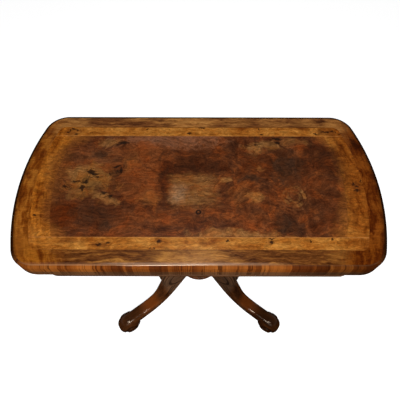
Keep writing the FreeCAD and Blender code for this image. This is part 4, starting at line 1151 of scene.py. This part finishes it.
def roundedRectangle(lowX, lowY, highX, highY):
    corner = clothSpec["cutCorner"]
    left, right, front, back = lowX + corner, highX - corner, lowY + corner, highY - corner
    line = []
    for n, (x, y) in enumerate(((right, front), (right, back), (left, back), (left, front))):
        line += arcPoints(x, y, corner, math.pi / 2 * (n - 1), math.pi / 2 * n, 4)
    return line


spec = clothSpec
baizeLine = leafOutline(spec["border"], spec["hingeBorder"], spec["border"], spec["corner"])
# the upper leaf's baize faces down while the table is closed
layCloth("upperBaizeSheet", baizeLine, spec["upperLow"] + spec["thickness"], spec["upperLow"], "baize",
         "upper_leaf", "upper_baize")
layCloth("lowerBaizeSheet", baizeLine, spec["lowerLow"], spec["lowerLow"] + spec["thickness"], "baize",
         "lower_leaf", "lower_baize")
low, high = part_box("well_lining")
layCloth("wellLiningSheet", roundedRectangle(*low[:2], *high[:2]), low.z, high.z, "lining",
         "stand", "well_lining")
low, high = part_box("slide_cloths")
width = spec["stripWidth"]
end = spec["stripEnd"]
strips = {
    "front": (low.x + end, low.y, high.x - end, low.y + width),
    "back": (low.x + end, high.y - width, high.x - end, high.y),
    "left": (low.x, low.y + end, low.x + width, high.y - end),
    "right": (high.x - width, low.y + end, high.x, high.y - end),
}
for side, box in strips.items():
    layCloth(side + "SlideStrip", roundedRectangle(*box), low.z, high.z, "baize",
             "stand", "slide_cloths")
print("cloths")


# slotted screws, by Geometry Nodes: one screw on each point of a small mesh
hingeScrew = {"Head Radius": 0.003, "Head Depth": 0.0015, "Shank Radius": 0.0015, "Length": 0.012,
              "Slot Width": 0.0008, "Slot Depth": 0.0007}
plateScrew = {"Head Radius": 0.0045, "Head Depth": 0.0023, "Shank Radius": 0.0022, "Length": 0.014,
              "Slot Width": 0.0012, "Slot Depth": 0.001}
bearerScrew = {**plateScrew, "Head Depth": 0.0019, "Shank Radius": 0.0026, "Length": 0.05}
pivotSpec = {"place": 0.11445, "screwOffset": 0.033}
bearerSpec = {"underside": 0.5989, "screwX": 0.11, "screwY": 0.192}
screwFlush = 0.00004


def screwTree(finish):
    tree = bpy.data.node_groups.new("slottedScrews", "GeometryNodeTree")
    face = tree.interface
    face.new_socket("Points", in_out="INPUT", socket_type="NodeSocketGeometry")
    for label, value in hingeScrew.items():
        face.new_socket(label, in_out="INPUT", socket_type="NodeSocketFloat").default_value = value
    face.new_socket("Points Up", in_out="INPUT", socket_type="NodeSocketBool")
    face.new_socket("Screws", in_out="OUTPUT", socket_type="NodeSocketGeometry")
    board = Board(tree)
    given = {socket.name: Wire(board, socket) for socket in board.node("NodeGroupInput").outputs}

    def lifted(geometry, height):
        place = {"Geometry": geometry, "Translation": board.join(0, 0, height)}
        return board.add("GeometryNodeTransform", place)

    cone = {"Vertices": 32, "Radius Top": given["Head Radius"], "Radius Bottom": given["Shank Radius"],
            "Depth": given["Head Depth"]}
    rod = {"Vertices": 16, "Radius": given["Shank Radius"], "Depth": given["Length"]}
    head = lifted(board.add("GeometryNodeMeshCone", cone), given["Head Depth"] * -1)
    shank = lifted(board.add("GeometryNodeMeshCylinder", rod), given["Length"] * -0.5)
    size = board.join(given["Head Radius"] * 3, given["Slot Width"], given["Slot Depth"] * 2)
    cut = {"Mesh 1": head, "Mesh 2": board.add("GeometryNodeMeshCube", {"Size": size})}
    slotted = board.add("GeometryNodeMeshBoolean", cut, operation="DIFFERENCE")
    screw = board.node("GeometryNodeJoinGeometry")
    for piece in (slotted, shank):
        board.feed(screw.inputs[0], piece)
    # each screw is driven to an angle of its own
    spin = board.add("FunctionNodeRandomValue", {2: 0, 3: math.pi, "Seed": 7}, 1, data_type="FLOAT")
    turn = board.join(given["Points Up"] * math.pi, 0, spin)
    places = {"Points": given["Points"], "Instance": screw.outputs[0], "Rotation": turn}
    whole = board.add("GeometryNodeRealizeInstances", (board.add("GeometryNodeInstanceOnPoints", places),))
    painted = board.add("GeometryNodeSetMaterial", {"Geometry": whole, "Material": finishes[finish]})
    board.node("NodeGroupOutput", (painted,))
    return tree


screwTrees = {finish: screwTree(finish) for finish in ("brass", "steel")}


def screwSet(name, points, height, sizes, metal, body, node, pointsUp):
    mesh = bpy.data.meshes.new(name + "Points")
    mesh.from_pydata([(x, y, height) for x, y in points], [], [])
    holder = inScene(name + "Points", mesh)
    tool = holder.modifiers.new("screws", "NODES")
    tool.node_group = screwTrees[metal]
    sockets = tool.node_group.interface.items_tree
    named = {item.name: item.identifier for item in sockets if item.in_out == "INPUT"}
    for label, value in sizes.items():
        tool[named[label]] = value
    tool[named["Points Up"]] = pointsUp
    addPiece(name, smooth(evaluated(holder), 30), metal, body, metal, node)


spec = hingeSpec
hingePoints = [(centre + spec["screwSpacing"] * n, spec["screwY"])
               for centre in spec["centres"] for n in (-1, 0, 1)]
screwSet("upperHingeScrews", hingePoints, upperBottom - screwFlush, hingeScrew, "brass", "upper_leaf",
         "upper_hinge_screws", True)
screwSet("lowerHingeScrews", hingePoints, lowerTop + screwFlush, hingeScrew, "brass", "lower_leaf",
         "lower_hinge_screws", False)
plateSides = [pivotSpec["place"] + pivotSpec["screwOffset"] * n for n in (-1, 1)]
platePoints = [(x, y) for x in plateSides for y in plateSides]
screwSet("pivotPlateScrews", platePoints, lowerBottom - screwFlush, plateScrew, "steel", "lower_leaf",
         "pivot_plate_screws", True)
spec = bearerSpec
bearerPoints = [(spec["screwX"] * n, spec["screwY"] * side) for n in (-1, 0, 1) for side in (-1, 1)]
screwSet("bearerScrews", bearerPoints, spec["underside"] - screwFlush, bearerScrew, "steel", "stand",
         "bearer_screws", True)
print("screws")


# floor, lights and camera
cameraSpec = {
    "place": (0.0026, -0.51, 1.505), "pitch": 58.01, "roll": 0.0024, "lens": 32.59, "sensor": 36,
    "shift": -0.02025, "clip": (0.05, 100),
}
lampSpec = {
    "lampByCamera": {"place": (0.05, -0.95, 2.45), "aim": (0, 0, 0.7), "size": (1.2, 0.16), "power": 32},
    "softFromFront": {"place": (0, -2.4, 1.9), "aim": (0, 0, 0.6), "size": (2.2, 2), "power": 24},
    "gleamOverhead": {"place": (-0.22, -0.06, 2.45), "aim": (0, -0.2, 0.7), "size": (1, 0.16),
                      "power": 14},
}
floorSpec = {"half": 14, "level": -0.0005, "colour": (0.62, 0.62, 0.62), "glow": 0.8}
worldSpec = {"low": 0.2, "high": 0.55, "horizon": 0.9, "zenith": 0.05}
white = (1, 1, 1)


def makeCamera():
    spec = cameraSpec
    data = bpy.data.cameras.new("photoCamera")
    data.lens = spec["lens"]
    data.sensor_width = spec["sensor"]
    data.sensor_fit = "HORIZONTAL"
    data.shift_y = spec["shift"]
    data.clip_start, data.clip_end = spec["clip"]
    camera = inScene("photoCamera", data)
    tilt = Matrix.Rotation(math.radians(90 - spec["pitch"]), 4, "X") @ Matrix.Rotation(spec["roll"], 4, "Z")
    camera.matrix_world = Matrix.Translation(spec["place"]) @ tilt
    scene.camera = camera


def makeLamp(name, place, aim, size, power):
    data = bpy.data.lights.new(name, "AREA")
    data.shape = "RECTANGLE"
    data.size, data.size_y = size
    data.energy = power
    lamp = inScene(name, data)
    lamp.location = place
    lamp.rotation_mode = "QUATERNION"
    lamp.rotation_quaternion = (Vector(aim) - Vector(place)).to_track_quat("-Z", "Y")
    # the gleam only shows in the polish
    lamp.visible_diffuse = name != "gleamOverhead"


def makeFloor():
    spec = floorSpec
    half = spec["half"]
    mesh = bpy.data.meshes.new("studioFloor")
    corners = [(-half, -half, 0), (half, -half, 0), (half, half, 0), (-half, half, 0)]
    mesh.from_pydata(corners, [], [(0, 1, 2, 3)])
    floor = inScene("studioFloor", mesh)
    floor.location = (0, 0, spec["level"])
    material = bpy.data.materials.new("paleFloor")
    material.use_nodes = True
    board = Board(material.node_tree)
    matte = board.add("ShaderNodeBsdfDiffuse", {"Color": spec["colour"]})
    glow = board.add("ShaderNodeEmission", {"Color": white, "Strength": spec["glow"]})
    both = board.add("ShaderNodeAddShader", (matte, glow))
    # it glows where it is seen, and is matte for the light that it throws back
    path = board.node("ShaderNodeLightPath").outputs
    seen = board.maths("MAXIMUM", path["Is Glossy Ray"], path["Is Transmission Ray"])
    seen = board.maths("MAXIMUM", path["Is Camera Ray"], seen)
    pick = board.add("ShaderNodeMixShader", (seen, matte, both))
    board.node("ShaderNodeOutputMaterial", {"Surface": pick})
    mesh.materials.append(material)
    floor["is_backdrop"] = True


def makeWorld():
    # white round the horizon, dim overhead, the same for every kind of ray
    spec = worldSpec
    scene.world = bpy.data.worlds.new("studio")
    scene.world.use_nodes = True
    board = Board(scene.world.node_tree)
    height = board.add("ShaderNodeTexCoord", output="Generated").split()[2]
    strength = height.ease(spec["low"], spec["high"], spec["horizon"], spec["zenith"])
    back = board.add("ShaderNodeBackground", {"Color": white, "Strength": strength})
    board.node("ShaderNodeOutputWorld", {"Surface": back})


makeFloor()
makeWorld()
for name, lamp in lampSpec.items():
    makeLamp(name, **lamp)
makeCamera()
scene.view_settings.view_transform = "Standard"
print("floor, lights and camera")

newLow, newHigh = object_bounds()
for label, box in (("cad", (*cadLow, *cadHigh)), ("visual", (*newLow, *newHigh))):
    print(label, "box", [round(value, 4) for value in box])
